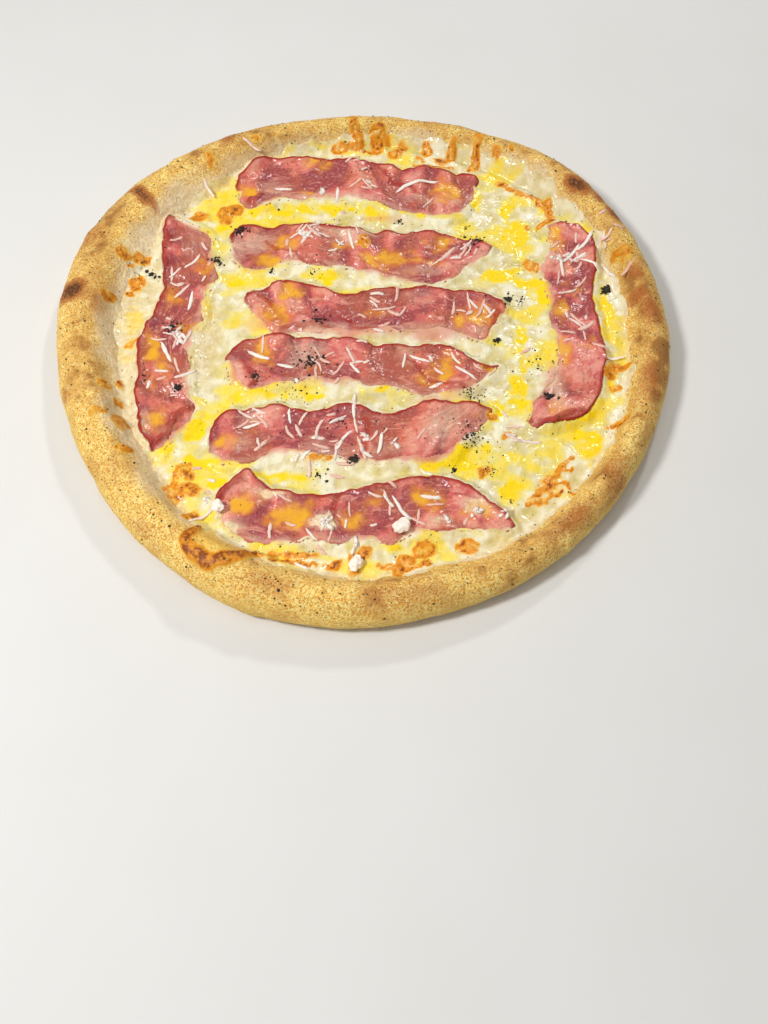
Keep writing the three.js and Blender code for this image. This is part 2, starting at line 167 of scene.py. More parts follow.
# Scorched or deeply browned marks on the rim, in the same form.
SCORCHED = [
    (-149, 20, 7, 6.5, 0, 1.0), (-120, 87, 10, 3.6, -48, 0.85), (-76, 128, 5, 8, 20, 0.5),
    (85, -106, 6, 3.5, 15, 0.9), (117, 92, 8, 4, -38, 0.95), (137, 74, 6, 3.5, -50, 0.8),
    (-146, -42, 3, 5, 0, 0.4), (148, 8, 5, 10, 0, 0.5), (142, 18, 6, 5, 0, 0.5),
    (143, -34, 5, 12, 0, 0.4), (128, 84, 4, 5, 0, 0.5), (-100, -115, 8, 4, -40, 0.25),
    (20, -150, 22, 5, 5, 0.25), (-40, -144, 14, 5, -10, 0.25), (98, -112, 14, 5, 42, 0.4),
    (-144, 58, 6, 10, -20, 0.35), (-136, 14, 5, 9, 0, 0.25), (144, 34, 5, 6, 0, 0.4),
    (120, -92, 6, 12, 0, 0.35),
]

# The blister on the near left of the rim: its ridge runs through these points, from end to end, round a
# dome given in the same form as the pools.
BLISTER_RIDGE = [(-75, -116), (-78, -123), (-74, -129), (-66, -134), (-56, -133), (-47, -129)]
BLISTER_DOME = (-62, -124, 14, 6, -28, 1)

# Folds and curled edges of the slices, dried dark red, and sunken creases (negative height) whose dark red
# is painted shade: the points along each, half width, height.
FOLDS = [
    ([(-59, 83), (-62, 89), (-57, 95)], 1.8, 1.4), ([(-51, 61), (-33, 50), (-18, 42)], 1.0, -0.9),
    ([(-63, 21), (-56, 26), (-47, 18)], 1.6, 1.2), ([(70, 14), (68, 5), (65, -4)], 1.6, 1.6),
    ([(-40, 3), (-26, 5), (-12, 1)], 2.0, 1.0), ([(-60, -18), (-55, -24), (-54, -32)], 1.6, 1.2),
    ([(-69, -98), (-61, -89), (-53, -81)], 1.8, 1.2), ([(30, -113), (50, -114), (72, -113)], 1.3, 0.8),
    ([(-105, 66), (-106, 45), (-104, 24)], 1.5, 0.6),
    ([(-103, -68), (-95, -62), (-92, -50), (-80, -43)], 1.5, 1.6),
    ([(115, -48), (100, -51), (85, -56)], 1.8, 1.6), ([(84, -41), (82, -54)], 1.3, 1.2),
    ([(8, 116), (16, 104), (30, 97)], 1.2, -1.0), ([(-12, 13), (-4, 4), (8, 2)], 1.2, -1.0),
    ([(24, -15), (34, -27), (52, -34)], 1.2, -0.9), ([(2, -50), (6, -60), (0, -72)], 1.2, -1.0),
    ([(-8, -92), (-14, -103), (-8, -112)], 1.2, -0.9), ([(60, -98), (72, -106), (80, -112)], 1.2, 0.8),
]

# Cracked pepper: x, y, spread, how many grains besides the dust, size of the largest.
PEPPER_HEAPS = [
    (-77, 48, 4, 26, 1.8), (-66, 67, 4, 24, 1.8), (61, 60, 6, 26, 1.8), (77, 23, 2.2, 26, 2.0),
    (84, 23, 5, 22, 0.7), (-112, 40, 3.5, 14, 1.8), (-119, 41, 5, 8, 0.8), (-22, 8, 8, 16, 1.8),
    (-98, 3, 7, 26, 1.6), (-25, -18, 7, 36, 1.8), (-53, -29, 2.5, 22, 1.5), (-91, -35, 2.6, 24, 2.0),
    (94, -39, 2.5, 24, 2.0), (70, -3, 1.6, 8, 2.4), (129, 29, 2.0, 22, 3.2), (-3, -75, 2.4, 26, 2.2),
    (-20, -83, 5, 12, 1.6), (55, -63, 8, 60, 1.0), (46, -79, 2.5, 6, 1.8), (72, -97, 1.5, 3, 1.6),
    (55, -37, 6, 34, 0.9), (20, 77, 2.5, 12, 1.2), (57, 72, 2, 5, 1.3), (-48, 41, 3, 10, 1.2),
    (-46, 85, 1.5, 3, 1.5), (-26, 41, 6, 12, 0.8), (0, 111, 6, 12, 0.9), (64, -80, 6, 16, 0.8),
    (-10, -55, 8, 10, 1.1), (92, -20, 8, 14, 1.2), (-110, -28, 6, 10, 0.9), (-35, -35, 12, 22, 0.9),
    (-14, 84, 20, 10, 0.9),
]

# Small broken curds of cheese lying on top: x, y, spread, how many.
CURDS = [
    (-16, -110, 5, 14), (55, -103, 4, 7), (69, -106, 2, 3), (2, -62, 2.5, 7), (-31, 63, 4, 10),
    (-2, -121, 2.5, 5), (-72, -96, 2.5, 4), (17, -66, 2, 3), (40, -107, 3, 4), (-22, 97, 3, 5),
    (104, 48, 4, 5), (-93, 0, 4, 7),
]

# Longer shreds of grated cheese: x, y, length, turn in degrees, bend in degrees.
LONG_SHREDS = [
    (30, 101, 26, 20, -55), (-6, 121, 11, 48, 5), (-62, 123, 12, -30, 10), (-85, 97, 12, -60, 10),
    (-44, 99, 10, -8, 10), (-14, 95, 10, 85, 10), (36, 88, 9, 50, -10), (-34, 66, 13, 42, 25),
    (-30, 62, 11, 62, -20), (-26, 66, 10, -40, 15), (-6, 61, 12, -75, 10), (-38, 52, 8, -80, 10),
    (46, 52, 13, 45, 15), (57, 54, 9, 60, 40), (40, 47, 8, 40, 0), (12, 16, 13, 8, 20),
    (17, 13, 8, -30, 10), (56, 20, 11, -82, 10), (63, 17, 10, 70, 10), (48, 16, 9, 80, 15),
    (-52, -14, 13, -28, 25), (-50, -8, 10, 88, 5), (-22, -20, 12, -52, -70), (-5, -15, 11, -62, -15),
    (-3, -22, 8, -50, 10), (30, -17, 12, -22, 20), (53, -26, 14, -42, 10), (48, -17, 8, -55, 15),
    (22, -18, 9, 80, 10), (-3, -44, 17, -88, 4), (-2, -56, 9, -80, 15), (-20, -58, 13, 75, -55),
    (-8, -64, 14, 55, -25), (1, -69, 14, -70, 12), (10, -66, 13, 82, 30), (7, -62, 8, 60, 40),
    (-53, -56, 9, 12, 5), (-30, -59, 8, -65, 5), (-48, -67, 9, 45, 10), (30, -62, 8, 55, 5),
    (-10, -52, 8, 30, 10), (20, -102, 16, -58, 8), (14, -98, 8, -50, 5), (34, -96, 10, -8, 6),
    (36, -100, 9, 4, 5), (-35, -97, 9, -28, 5), (-22, -116, 9, -50, 8), (-13, -116, 8, 75, 10),
    (-6, -110, 5, 80, 5), (50, -109, 4, 60, 0), (-90, 47, 13, 52, 45), (-94, 27, 12, 50, 30),
    (-89, 20, 11, 78, 10), (-96, 0, 8, -40, 10), (-95, -6, 9, 80, 10), (-99, -12, 13, -62, 12),
    (-93, -20, 10, -72, 10), (-88, -26, 12, 30, 15), (-106, -32, 5, 80, 10), (106, 44, 15, -82, 6),
    (112, 52, 18, 52, 8), (120, 60, 14, 48, 35), (122, 44, 14, -40, -50), (116, 33, 10, 50, 30),
    (108, 26, 12, 20, 35), (112, 8, 12, -50, 20), (122, -10, 10, -30, 10), (128, -16, 13, 10, 15),
    (131, 43, 13, -58, 20), (139, 36, 10, 50, 5), (137, 64, 6, -5, 5), (129, 73, 5, 30, 5),
    (104, 36, 9, 75, 20), (82, -64, 14, -4, 12), (75, -62, 9, -30, 20), (-74, -106, 13, 38, 8),
    (95, -36, 8, 70, 15), (84, -10, 6, 30, 10), (-38, -21, 9, -15, 10), (-66, -105, 6, 60, 10),
    (-100, 62, 8, 40, 10), (-85, 58, 7, -60, 10),
]

# Where scattered short shreds lie thickest: x, y, spread, how many.
SHRED_SHOWERS = [
    (0, 105, 22, 8), (-20, 60, 20, 8), (50, 52, 10, 5), (10, 16, 14, 8), (58, 16, 10, 6),
    (-10, -16, 18, 9), (45, -22, 12, 4), (-15, -60, 28, 20), (-45, -56, 14, 6), (10, -103, 30, 10),
    (-92, 35, 10, 6), (-96, 0, 9, 9), (-98, -30, 10, 4), (112, 48, 12, 9), (113, 0, 12, 7),
    (131, 54, 6, 4), (-30, -116, 20, 4), (70, -60, 12, 3), (-10, 40, 40, 3), (-70, -90, 14, 3),
]

# Share of the rim's inner slope, from crest (0) to foot (1), where its pale part starts, by direction.
PALE_FROM = [
    (0, 0.85), (45, 0.3), (90, 0.4), (135, 0.3), (180, 0.42), (225, 0.24), (270, 0.7), (315, 0.85),
    (360, 0.85),
]
# How strongly the crest is toasted, by direction.
TOASTED_BY = [
    (0, 0.55), (45, 0.5), (90, 0.38), (135, 0.32), (180, 0.36), (225, 0.12), (270, 0.22), (315, 0.45),
    (360, 0.55),
]
# How far up that slope the cheese has crept, as the share where it starts, by direction.
CREPT_FROM = [
    (0, 0.68), (45, 0.36), (90, 0.4), (135, 0.66), (180, 0.8), (225, 0.7), (270, 0.56), (315, 0.66),
    (360, 0.68),
]


# ------------------------------------------------------------------ settings


def ink(hexcode):
    """Turns an sRGB hex colour to linear RGBA."""
    parts = [int(hexcode[start:start + 2], 16) / 255 for start in (1, 3, 5)]
    return tuple(c / 12.92 if c <= 0.04045 else ((c + 0.055) / 1.055) ** 2.4 for c in parts) + (1.0,)


def length(name, millimetres, description):
    """A setting that holds a length, given in millimetres."""
    return FloatProperty(
        name=name, description=description, default=millimetres * MM, min=0,
        unit="LENGTH", subtype="DISTANCE",
    )


def colour(name, hexcode, description):
    """A setting that holds a colour, given as an sRGB hex code."""
    return FloatVectorProperty(
        name=name, description=description, default=ink(hexcode), size=4, min=0, max=1,
        subtype="COLOR",
    )


class CrustSettings(bpy.types.PropertyGroup):
    swell: length("Swell", 0.9, "How far the rim's broad puffs stand out or in")
    knobble: length("Knobble", 0.45, "How far its finger-wide bumps stand out or in")
    grain: length("Grain", 0.6, "Width of the coarse semolina grains in the skin")
    golden: colour("Golden dough", "#FAC75E", "The baked skin at its usual strength")
    straw: colour("Straw", "#FFEA98", "Lighter grains of the skin")
    toasted: colour("Toasted", "#C27F34", "Where the oven browned it more")
    pale: colour("Pale dough", "#F8E6C6", "The inner slope, kept pale by the cream")
    olive: colour("Olive", "#F2CC68", "The oiled outer foot of the rim")
    char: colour("Char", "#4A2511", "Scorched marks")


class CheeseSettings(bpy.types.PropertyGroup):
    spacing: length("Mesh spacing", 0.85, "Distance between the points of the cheese's surface")
    hummock: length("Hummocks", 1.5, "Height of its soft melted lumps")
    film: length("Film", 0.7, "Thickness of the cheese that crept up the rim")
    cream: colour("Cream", "#E6D8AA", "The plain melted cheese")
    # This colour is also the painted shade in the cheese's low places.
    whey_and_low_shade: colour("Clear patches", "#D2BF68", "Where it melted thin and lets the dough show")
    yolk: colour("Egg yolk", "#FFDA00", "Runny yolk soaked into the cheese")


class BaconSettings(bpy.types.PropertyGroup):
    thickness: length("Thickness", 1.5, "Thickness of a slice")
    pucker: length("Pucker", 2.8, "Height of the broad waves along a slice")
    crinkle: length("Crinkle", 0.9, "Height of its smaller creases")
    lean: colour("Lean meat", "#DA6A64", "The pink-red meat")
    # Mauve is also painted shade in the valleys of a slice's waves, and salmon is painted light on its
    # domes.
    mauve: colour("Mauve", "#A4464A", "Darker streaks of meat")
    salmon: colour("Salmon", "#F4A894", "Lighter, fattier streaks")
    fat: colour("Fat", "#F0C8AC", "Pale fat, or cream run over it")
    rind: colour("Rind", "#A82814", "The dark red edge of a slice")
    yolk: colour("Yolk", "#E08A18", "Yolk seen over the meat")


class ToppingSettings(bpy.types.PropertyGroup):
    shred_width: length("Shred width", 1.4, "Width of a grated shred")
    shred_thickness: length("Shred thickness", 0.5, "Thickness of a grated shred")
    grated: colour("Grated cheese", "#FFF2E4", "Hard cheese, just off white")
    pepper: colour("Pepper", "#1C1713", "Cracked black pepper")
    herb: colour("Herb", "#4C4A22", "Dried herb flecks in the dough")
    fleck_count: IntProperty(
        name="Herb flecks", description="How many lie on the rim", default=900, min=0
    )
    speck_count: IntProperty(
        name="Pepper specks", description="How many lie about singly", default=700, min=0
    )


class StageSettings(bpy.types.PropertyGroup):
    camera_place: FloatVectorProperty(
        name="Camera", description="Where the camera stands", default=(0.0118, -0.3436, 0.4689), size=3,
        subtype="XYZ", unit="LENGTH",
    )
    camera_pitch: FloatProperty(
        name="Pitch", description="Turn of the camera up from looking straight down",
        default=math.radians(27.64), subtype="ANGLE",
    )
    lens: FloatProperty(
        name="Lens", description="Focal length in millimetres", default=38.67, min=1,
        subtype="DISTANCE_CAMERA",
    )
    floor_colour: colour("Floor", "#DCDAD6", "The plain pale floor")


# ------------------------------------------------------------------ small tools for shapes


def points_of(mesh):
    """The places of a mesh's vertices, one row for each."""
    flat = np.empty(len(mesh.vertices) * 3)
    mesh.vertices.foreach_get("co", flat)
    return flat.reshape(-1, 3)


def normals_of(mesh):
    """The directions in which a mesh's vertices face, one row for each."""
    flat = np.empty(len(mesh.vertices) * 3)
    mesh.vertex_normals.foreach_get("vector", flat)
    return flat.reshape(-1, 3)


def reshape(mesh, points):
    """Moves a mesh's vertices to new places."""
    mesh.vertices.foreach_set("co", points.ravel())
    mesh.update()


def paint(mesh, name, values):
    """Keeps one number for each vertex, for a material to read."""
    layer = mesh.attributes.new(name, "FLOAT", "POINT")
    layer.data.foreach_set("value", np.asarray(values, np.float32))


def ease(low, high, values):
    """0 at low, 1 at high, and smooth between them. low may be the larger."""
    share = np.clip((values - low) / (high - low), 0, 1)
    return share * share * (3 - 2 * share)


def lumps(points, size, seed):
    """Smooth random rise and fall, mostly between -0.7 and 0.7, with lumps about size metres across."""
    shifted = points / size + 31.7 * seed
    return np.array([noise.noise(place) for place in shifted.tolist()])


def rolling(points, *layers):
    """Lumps of several sizes together, each layer given as height, size in millimetres and seed."""
    return sum(height * lumps(points, size * MM, seed) for height, size, seed in layers)


def ragged(points, seed, reach=3.0):
    """Plan places in millimetres, shifted at random, so that what is drawn on them has ragged edges."""
    flat = points * (1, 1, 0)
    broad = np.column_stack([lumps(flat, 9 * MM, seed), lumps(flat, 9 * MM, seed + 1)])
    fine = np.column_stack([lumps(flat, 3 * MM, seed + 2), lumps(flat, 3 * MM, seed + 3)])
    return points[:, :2] / MM + reach * broad + 0.45 * reach * fine


def marks(plan, places, soft=0.35):
    """How strong the listed oval marks are at plan places. soft is how broad their edges are."""
    total = np.zeros(len(plan))
    for x, y, half_length, half_width, turn, strength in places:
        across = plan - (x, y)
        c, s = math.cos(math.radians(turn)), math.sin(math.radians(turn))
        along = (across[:, 0] * c + across[:, 1] * s) / half_length
        aside = (across[:, 1] * c - across[:, 0] * s) / half_width
        total = np.maximum(total, strength * ease(1 + soft, 1 - soft, np.hypot(along, aside)))
    return total


def browned_marks(plan, soft):
    """Strength of all the browned spots and lines at plan places. The lines are the weaker."""
    total = marks(plan, BROWNED, soft)
    for line, half_width in BROWNED_LINES:
        away = ridge_distance(plan, line)[0] / half_width
        total = np.maximum(total, 0.75 * ease(1 + soft, 1 - soft, away))
    return total


def bubbled(points, baked):
    """Bubbles in a baked patch: how brown each point is, and how far it rises."""
    flat = points * (1, 1, 0)
    bubble = np.abs(rolling(flat, (1, 5, 55), (0.4, 2.2, 56)))
    # The seams between bubbles, a ring near the patch's edge and specks in its middle are the darkest.
    seam = ease(0.12, 0.03, bubble) * ease(0.3, 0.7, baked)
    ring = ease(0.15, 0.35, baked) * ease(0.8, 0.5, baked) * ease(-0.35, 0.3, lumps(flat, 4 * MM, 64))
    core = ease(0.7, 1.0, baked) * ease(-0.05, 0.35, lumps(flat, 3.5 * MM, 67))
    honey = (0.36 + 0.2 * lumps(flat, 3 * MM, 65)) * ease(0, 0.6, baked)
    brown = honey + np.maximum(np.maximum(0.46 * seam, 0.34 * ring), 0.5 * core)
    return brown, 0.6 * MM * baked * (0.5 + 3 * bubble)


def by_direction(table, angle):
    """A value given at a few directions in degrees, read off at any angle between them."""
    degrees, values = zip(*table)
    return np.interp(np.degrees(angle) % 360, degrees, values)


def ridge_distance(plan, line):
    """Distance in millimetres from each plan place to a line of points, and the share along it."""
    ends = np.array(line, float)
    nearest = np.full(len(plan), np.inf)
    share = np.zeros(len(plan))
    for number, (a, b) in enumerate(zip(ends[:-1], ends[1:])):
        along = np.clip(((plan - a) @ (b - a)) / ((b - a) @ (b - a)), 0, 1)
        away = np.hypot(*(plan - a - along[:, None] * (b - a)).T)
        closer = away < nearest
        nearest[closer] = away[closer]
        share[closer] = (number + along[closer]) / (len(ends) - 1)
    return nearest, share


def new_piece(name, data):
    """An object in the scene, holding a mesh, a lamp or a camera."""
    piece = bpy.data.objects.new(name, data)
    bpy.context.scene.collection.objects.link(piece)
    return piece


def settle(piece):
    """Applies a piece's modifiers to its mesh."""
    graph = bpy.context.evaluated_depsgraph_get()
    mesh = bpy.data.meshes.new_from_object(piece.evaluated_get(graph))
    piece.modifiers.clear()
    piece.data = mesh
    return mesh


def refine(piece, levels):
    """Rounds a piece's mesh and gives it enough points for its finer relief."""
    smoother = piece.modifiers.new("Refine", "SUBSURF")
    smoother.levels = smoother.render_levels = levels
    return settle(piece)


def solid_copy(node):
    """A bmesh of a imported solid, its loose triangles welded into one skin."""
    bm = bmesh.new()
    bm.from_mesh(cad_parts[node].data)
    bmesh.ops.remove_doubles(bm, verts=bm.verts, dist=0.001 * MM)
    return bm


def join_quads(bm):
    """Joins pairs of triangles that lie nearly flat together into quads."""
    bmesh.ops.join_triangles(
        bm, faces=bm.faces, angle_face_threshold=math.radians(50), angle_shape_threshold=math.radians(70)
    )


def to_mesh(bm, name):
    """Turns a bmesh into a mesh and frees it."""
    mesh = bpy.data.meshes.new(name)
    bm.to_mesh(mesh)
    bm.free()
    return mesh


def finish_piece(piece, material, node_names=()):
    """Smooths and clothes a piece, ties it to the body, and hides the imported parts it replaces."""
    piece.data.shade_smooth()
    piece.data.materials.clear()
    piece.data.materials.append(material)
    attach(piece, "root")
    if node_names:
        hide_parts(*node_names)


def tree_of(*meshes):
    """One search tree over several meshes, to find their surface by a ray."""
    places, faces = [], []
    for mesh in meshes:
        faces += [[index + len(places) for index in face.vertices] for face in mesh.polygons]
        places += [vertex.co.copy() for vertex in mesh.vertices]
    return BVHTree.FromPolygons(places, faces)


def drop(tree, plan, start=60 * MM, way=-1):
    """Height of a tree's surface at each plan place in metres, or nan where there's none.

    It is met going down from the height start, or going up if way is 1.
    """
    heights = np.full(len(plan), np.nan)
    for index, (x, y) in enumerate(plan.tolist()):
        hit = tree.ray_cast(Vector((x, y, start)), Vector((0, 0, way)))[0]
        if hit:
            heights[index] = hit.z
    return heights


# ------------------------------------------------------------------ small tools for materials


def add(tree, kind, settings=None, inputs=None):
    """Adds a shader node with its properties, and gives each input, by name or number, a value or link."""
    made = tree.nodes.new("ShaderNode" + kind)
    for key, value in (settings or {}).items():
        setattr(made, key, value)
    for key, value in (inputs or {}).items():
        if isinstance(key, int):
            socket = made.inputs[key]
        else:
            socket = next(s for s in made.inputs if s.name == key and s.enabled)
        if isinstance(value, bpy.types.Node):
            value = next(s for s in value.outputs if s.enabled)
        if isinstance(value, bpy.types.NodeSocket):
            tree.links.new(value, socket)
        else:
            socket.default_value = value
    return made


RGBA = {"data_type": "RGBA"}
TIMES = {"operation": "MULTIPLY", "use_clamp": True}
PLUS = {"operation": "ADD", "use_clamp": True}
SOFT = {"interpolation_type": "SMOOTHSTEP"}
NOISE_RANGE = {"From Min": 0.3, "From Max": 0.7}  # where nearly all values of a noise texture lie


def new_material(name):
    """An empty material, its node tree, and the object coordinates that its patterns follow."""
    material = bpy.data.materials.new(name)
    material.use_nodes = True
    tree = material.node_tree
    tree.nodes.clear()
    return material, tree, add(tree, "TexCoord").outputs["Object"]


def painted(tree, *names):
    """The attributes painted on a mesh, as sockets by name."""
    return {name: add(tree, "Attribute", {"attribute_name": name}).outputs["Fac"] for name in names}


def per(millimetres):
    """Noise scale, in object coordinates, for lumps of that size."""
    return 1 / (millimetres * MM)


def coats(tree, skin, *layers):
    """A colour with coats over it: what each follows, where it starts and is full, its most, its tint."""
    for amount, start, full, most, tint in layers:
        spread = {"Value": amount, "From Min": start, "From Max": full, "To Max": most}
        share = add(tree, "MapRange", SOFT, spread)
        skin = add(tree, "Mix", RGBA, {"Factor": share, "A": skin, "B": tint})
    return skin


def browned_over(tree, skin, heat):
    """A colour browned by heat: first straw, then amber, then dark caramel in the deepest spots."""
    return coats(
        tree, skin,
        (heat, 0.04, 0.25, 0.8, ink("#F2C24E")),
        (heat, 0.2, 0.45, 0.95, ink("#E6900F")),
        (heat, 0.5, 0.88, 0.95, ink("#8A3C08")),
    )


# ------------------------------------------------------------------ crust


class Rim:
    """Where the rim's crest and its inner foot lie in each direction, and how high it is there."""

    def __init__(self, points):
        radius = np.hypot(points[:, 0], points[:, 1])
        angle = np.arctan2(points[:, 1], points[:, 0]) % (2 * math.pi)
        count = 72  # directions looked at, all round the pizza
        sector = (angle / (2 * math.pi) * count).astype(int) % count
        # The base's upper face: its points near the middle, apart from those of the underside.
        floor = np.median(points[(radius < 60 * MM) & (points[:, 2] > 2 * MM), 2])
        middles = (np.arange(count) + 0.5) * 2 * math.pi / count
        crest, foot, top = [], [], []
        for number in range(count):
            here = sector == number
            highest = points[here, 2].max()
            raised = here & (points[:, 2] > floor + 0.5 * MM) & (radius > 100 * MM)
            crest.append(radius[here & (points[:, 2] > highest - 0.2 * MM)].mean())
            foot.append(radius[raised].min())
            top.append(highest)
        self.middles = np.concatenate([middles - 2 * math.pi, middles, middles + 2 * math.pi])
        self.crest, self.foot, self.top = (np.tile(values, 3) for values in (crest, foot, top))
        self.floor = floor

    def share(self, points):
        """How far down the inner slope each point is: 0 at the crest, 1 at its foot, under 0 outside."""
        angle = np.arctan2(points[:, 1], points[:, 0]) % (2 * math.pi)
        crest = np.interp(angle, self.middles, self.crest)
        foot = np.interp(angle, self.middles, self.foot)
        return (crest - np.hypot(points[:, 0], points[:, 1])) / (crest - foot), angle


def puffs(points, rim, seed, count=90):
    """Small raised bubbles scattered over the rim: how far each point is lifted."""
    rng = np.random.default_rng(seed)
    lift = np.zeros(len(points))
    for _ in range(count):
        angle = rng.uniform(0, 2 * math.pi)
        crest = np.interp(angle, rim.middles, rim.crest)
        radius = crest + rng.uniform(-12, 12) * MM
        size = rng.uniform(3, 9) * MM
        middle = np.array([radius * math.cos(angle), radius * math.sin(angle)])
        away = np.hypot(*(points[:, :2] - middle).T) / size
        dome = np.clip(1 - away**2, 0, None) ** 1.5
        lift += dome * size * rng.uniform(0.04, 0.13)
    return lift


def blister(plan):
    """Strength of the long blister on the rim: its browned ridge, and the dome inside it."""
    away, share = ridge_distance(plan, BLISTER_RIDGE)
    width = 1.4 + 2.2 * np.sin(math.pi * np.clip(share, 0.05, 0.95))
    return ease(1.5, 0.5, away / width), marks(plan, [BLISTER_DOME])


def build_crust(look):
    """The crust: puffed and sandy on its rim, pale on the inner slope, browned and scorched in places."""
    bm = solid_copy("crust")
    join_quads(bm)
    crust = new_piece("baked_crust", to_mesh(bm, "baked_crust"))
    mesh = refine(crust, 3)
    points, normals = points_of(mesh), normals_of(mesh)
    rim = Rim(points)
    share, angle = rim.share(points)
    on_rim = ease(1.02, 0.7, share) * ease(1 * MM, 5 * MM, points[:, 2])
    plan = ragged(points, 11, reach=2.0)
    ridge, dome = blister(plan)

    lift = look.swell * lumps(points, 26 * MM, 1)
    lift += look.knobble * rolling(points, (1, 10, 2), (0.35, 4, 3), (0.15, 1.8, 4))
    lift += puffs(points, rim, seed=5)
    wander = rolling(points, (0.3, 22, 16), (0.12, 9, 9), (0.06, 3, 10))
    inward = ease(-0.2, 0.3, share - by_direction(PALE_FROM, angle) + wander)
    curds = rolling(points, (0.5, 6, 14), (0.35, 2.5, 15))
    lift += inward * ease(1.05, 0.9, share) * 0.6 * MM * curds
    lift += ease(0.2, 0.6, share) * rolling(points, (1.8, 15, 17), (0.7, 6, 18)) * MM
    browned, rise = bubbled(points, browned_marks(plan, 0.7))
    lift += rise + (1.6 * ridge + 1.8 * dome) * MM
    points = points + normals * (on_rim * lift)[:, None]
    reshape(mesh, points)

    height = points[:, 2] / np.interp(angle, rim.middles, rim.top)
    mottle = np.minimum(rolling(points, (0.6, 24, 6), (0.6, 10, 7), (0.3, 4, 8)), 0.5)
    toast = by_direction(TOASTED_BY, angle) * ease(0.4, 0.95, height) + 1.1 * mottle
    outside = ease(-0.2, -0.9, share)
    near_foot = ease(0.45, 0.8, share) * ease(-0.2, -0.6, np.sin(angle))
    oiled = np.maximum(outside * ease(0.95, 0.45, height), 0.9 * near_foot)
    caramel = ridge * (0.78 + 0.4 * lumps(points, 4 * MM, 13))
    paint(mesh, "toast", np.clip(toast * (1 - 0.7 * inward), 0, 1))
    paint(mesh, "cream_skin", inward * ease(2 * MM, 4 * MM, points[:, 2]))
    paint(mesh, "olive", np.clip(oiled * (0.55 + 0.8 * lumps(points, 15 * MM, 12)), 0, 1))
    paint(mesh, "browned", np.maximum(browned, np.maximum(caramel, 0.22 * dome)))
    paint(mesh, "scorched", marks(plan, SCORCHED, soft=0.7) * ease(0.35, 0.75, height))
    finish_piece(crust, dough_material(look), ["crust"])
    return rim


def dough_material(look):
    """Wheat dough baked in a stone oven: a matt, sandy golden skin, toasted where it rose highest."""
    material, tree, place = new_material("wheat_dough_oven_baked")
    mark = painted(tree, "toast", "cream_skin", "olive", "browned", "scorched")
    grains = add(tree, "TexVoronoi", {}, {"Vector": place, "Scale": per(look.grain / MM)})
    grit = add(tree, "SeparateColor", {}, {"Color": grains.outputs["Color"]}).outputs["Red"]
    drift = add(tree, "TexNoise", {}, {"Vector": place, "Scale": per(1.7), "Detail": 2.0, "Roughness": 0.6})
    patch = add(tree, "TexNoise", {}, {"Vector": place, "Scale": per(7), "Detail": 4.0, "Roughness": 0.65})
    curd = add(tree, "TexNoise", {}, {"Vector": place, "Scale": per(2), "Detail": 4.0, "Distortion": 0.5})
    # Pale grains stand among browned ones, as in a skin dusted with semolina.
    sand = add(tree, "MapRange", {}, {"Value": drift, **NOISE_RANGE, "To Min": -0.15, "To Max": 0.15})
    sand = add(tree, "Math", {"operation": "ADD"}, {0: grit, 1: sand})
    skin = coats(
        tree, look.golden,
        (sand, 0.45, 0.0, 0.82, look.toasted),
        (sand, 0.42, 0.9, 0.95, look.straw),
    )
    uneven = add(tree, "MapRange", {}, {"Value": patch, **NOISE_RANGE, "To Min": -0.15, "To Max": 0.15})
    toast = add(tree, "Math", PLUS, {0: mark["toast"], 1: uneven})
    tanned = add(tree, "Math", TIMES, {0: toast, 1: 0.75})
    skin = add(tree, "Mix", RGBA, {"Factor": tanned, "A": skin, "B": look.toasted})
    skin = coats(tree, skin, (toast, 0.6, 1.1, 0.7, ink("#8C5622")))
    thick = add(tree, "MapRange", {}, {"Value": sand, "To Min": 1.1, "To Max": 0.55})
    oil = add(tree, "Math", TIMES, {0: mark["olive"], 1: thick})
    skin = add(tree, "Mix", RGBA, {"Factor": oil, "A": skin, "B": look.olive})
    # The cream dried on the slope in milky patches with duller dough between.
    slope = coats(tree, ink("#E6CB9A"), (curd, 0.25, 0.75, 1.0, look.pale))
    cover = add(tree, "MapRange", {}, {"Value": patch, **NOISE_RANGE, "To Min": 0.7, "To Max": 1.0})
    cover = add(tree, "Math", TIMES, {0: mark["cream_skin"], 1: cover})
    skin = add(tree, "Mix", RGBA, {"Factor": cover, "A": skin, "B": slope})
    uneven = add(tree, "MapRange", {}, {"Value": drift, **NOISE_RANGE, "To Min": 0.7, "To Max": 1.15})
    baked = add(tree, "Math", TIMES, {0: mark["browned"], 1: uneven})
    skin = browned_over(tree, skin, baked)
    # Scorching starts as a tan and ends in charcoal.
    ash = add(tree, "MapRange", {}, {"Value": sand, "To Min": 1.15, "To Max": 0.75})
    burnt = add(tree, "Math", TIMES, {0: mark["scorched"], 1: ash})
    skin = coats(tree, skin, (burnt, 0.0, 0.5, 0.9, ink("#B5672A")), (burnt, 0.5, 1.0, 0.9, look.char))
    relief = add(tree, "Math", {"operation": "MULTIPLY_ADD"}, {0: drift, 1: 1.5, 2: grit})
    bump = add(tree, "Bump", {}, {"Height": relief, "Strength": 0.9, "Distance": 0.6 * MM})
    wet = add(tree, "Math", PLUS, {0: cover, 1: mark["browned"]})
    rough = add(tree, "MapRange", {}, {"Value": wet, "To Min": 0.75, "To Max": 0.28})
    shader = add(tree, "BsdfPrincipled", {}, {
        "Base Color": skin, "Roughness": rough, "Normal": bump, "Specular IOR Level": 0.35,
    })
    add(tree, "OutputMaterial", {}, {"Surface": shader})
    return material


# ------------------------------------------------------------------ bacon


def slice_sheet(node):
    """The upper skin of a packed slice as an open sheet of quads."""
    bm = solid_copy(node)
    bm.normal_update()
    under = [face for face in bm.faces if face.normal.z < 0.3]
    bmesh.ops.delete(bm, geom=under, context="FACES")
    join_quads(bm)
    return bm


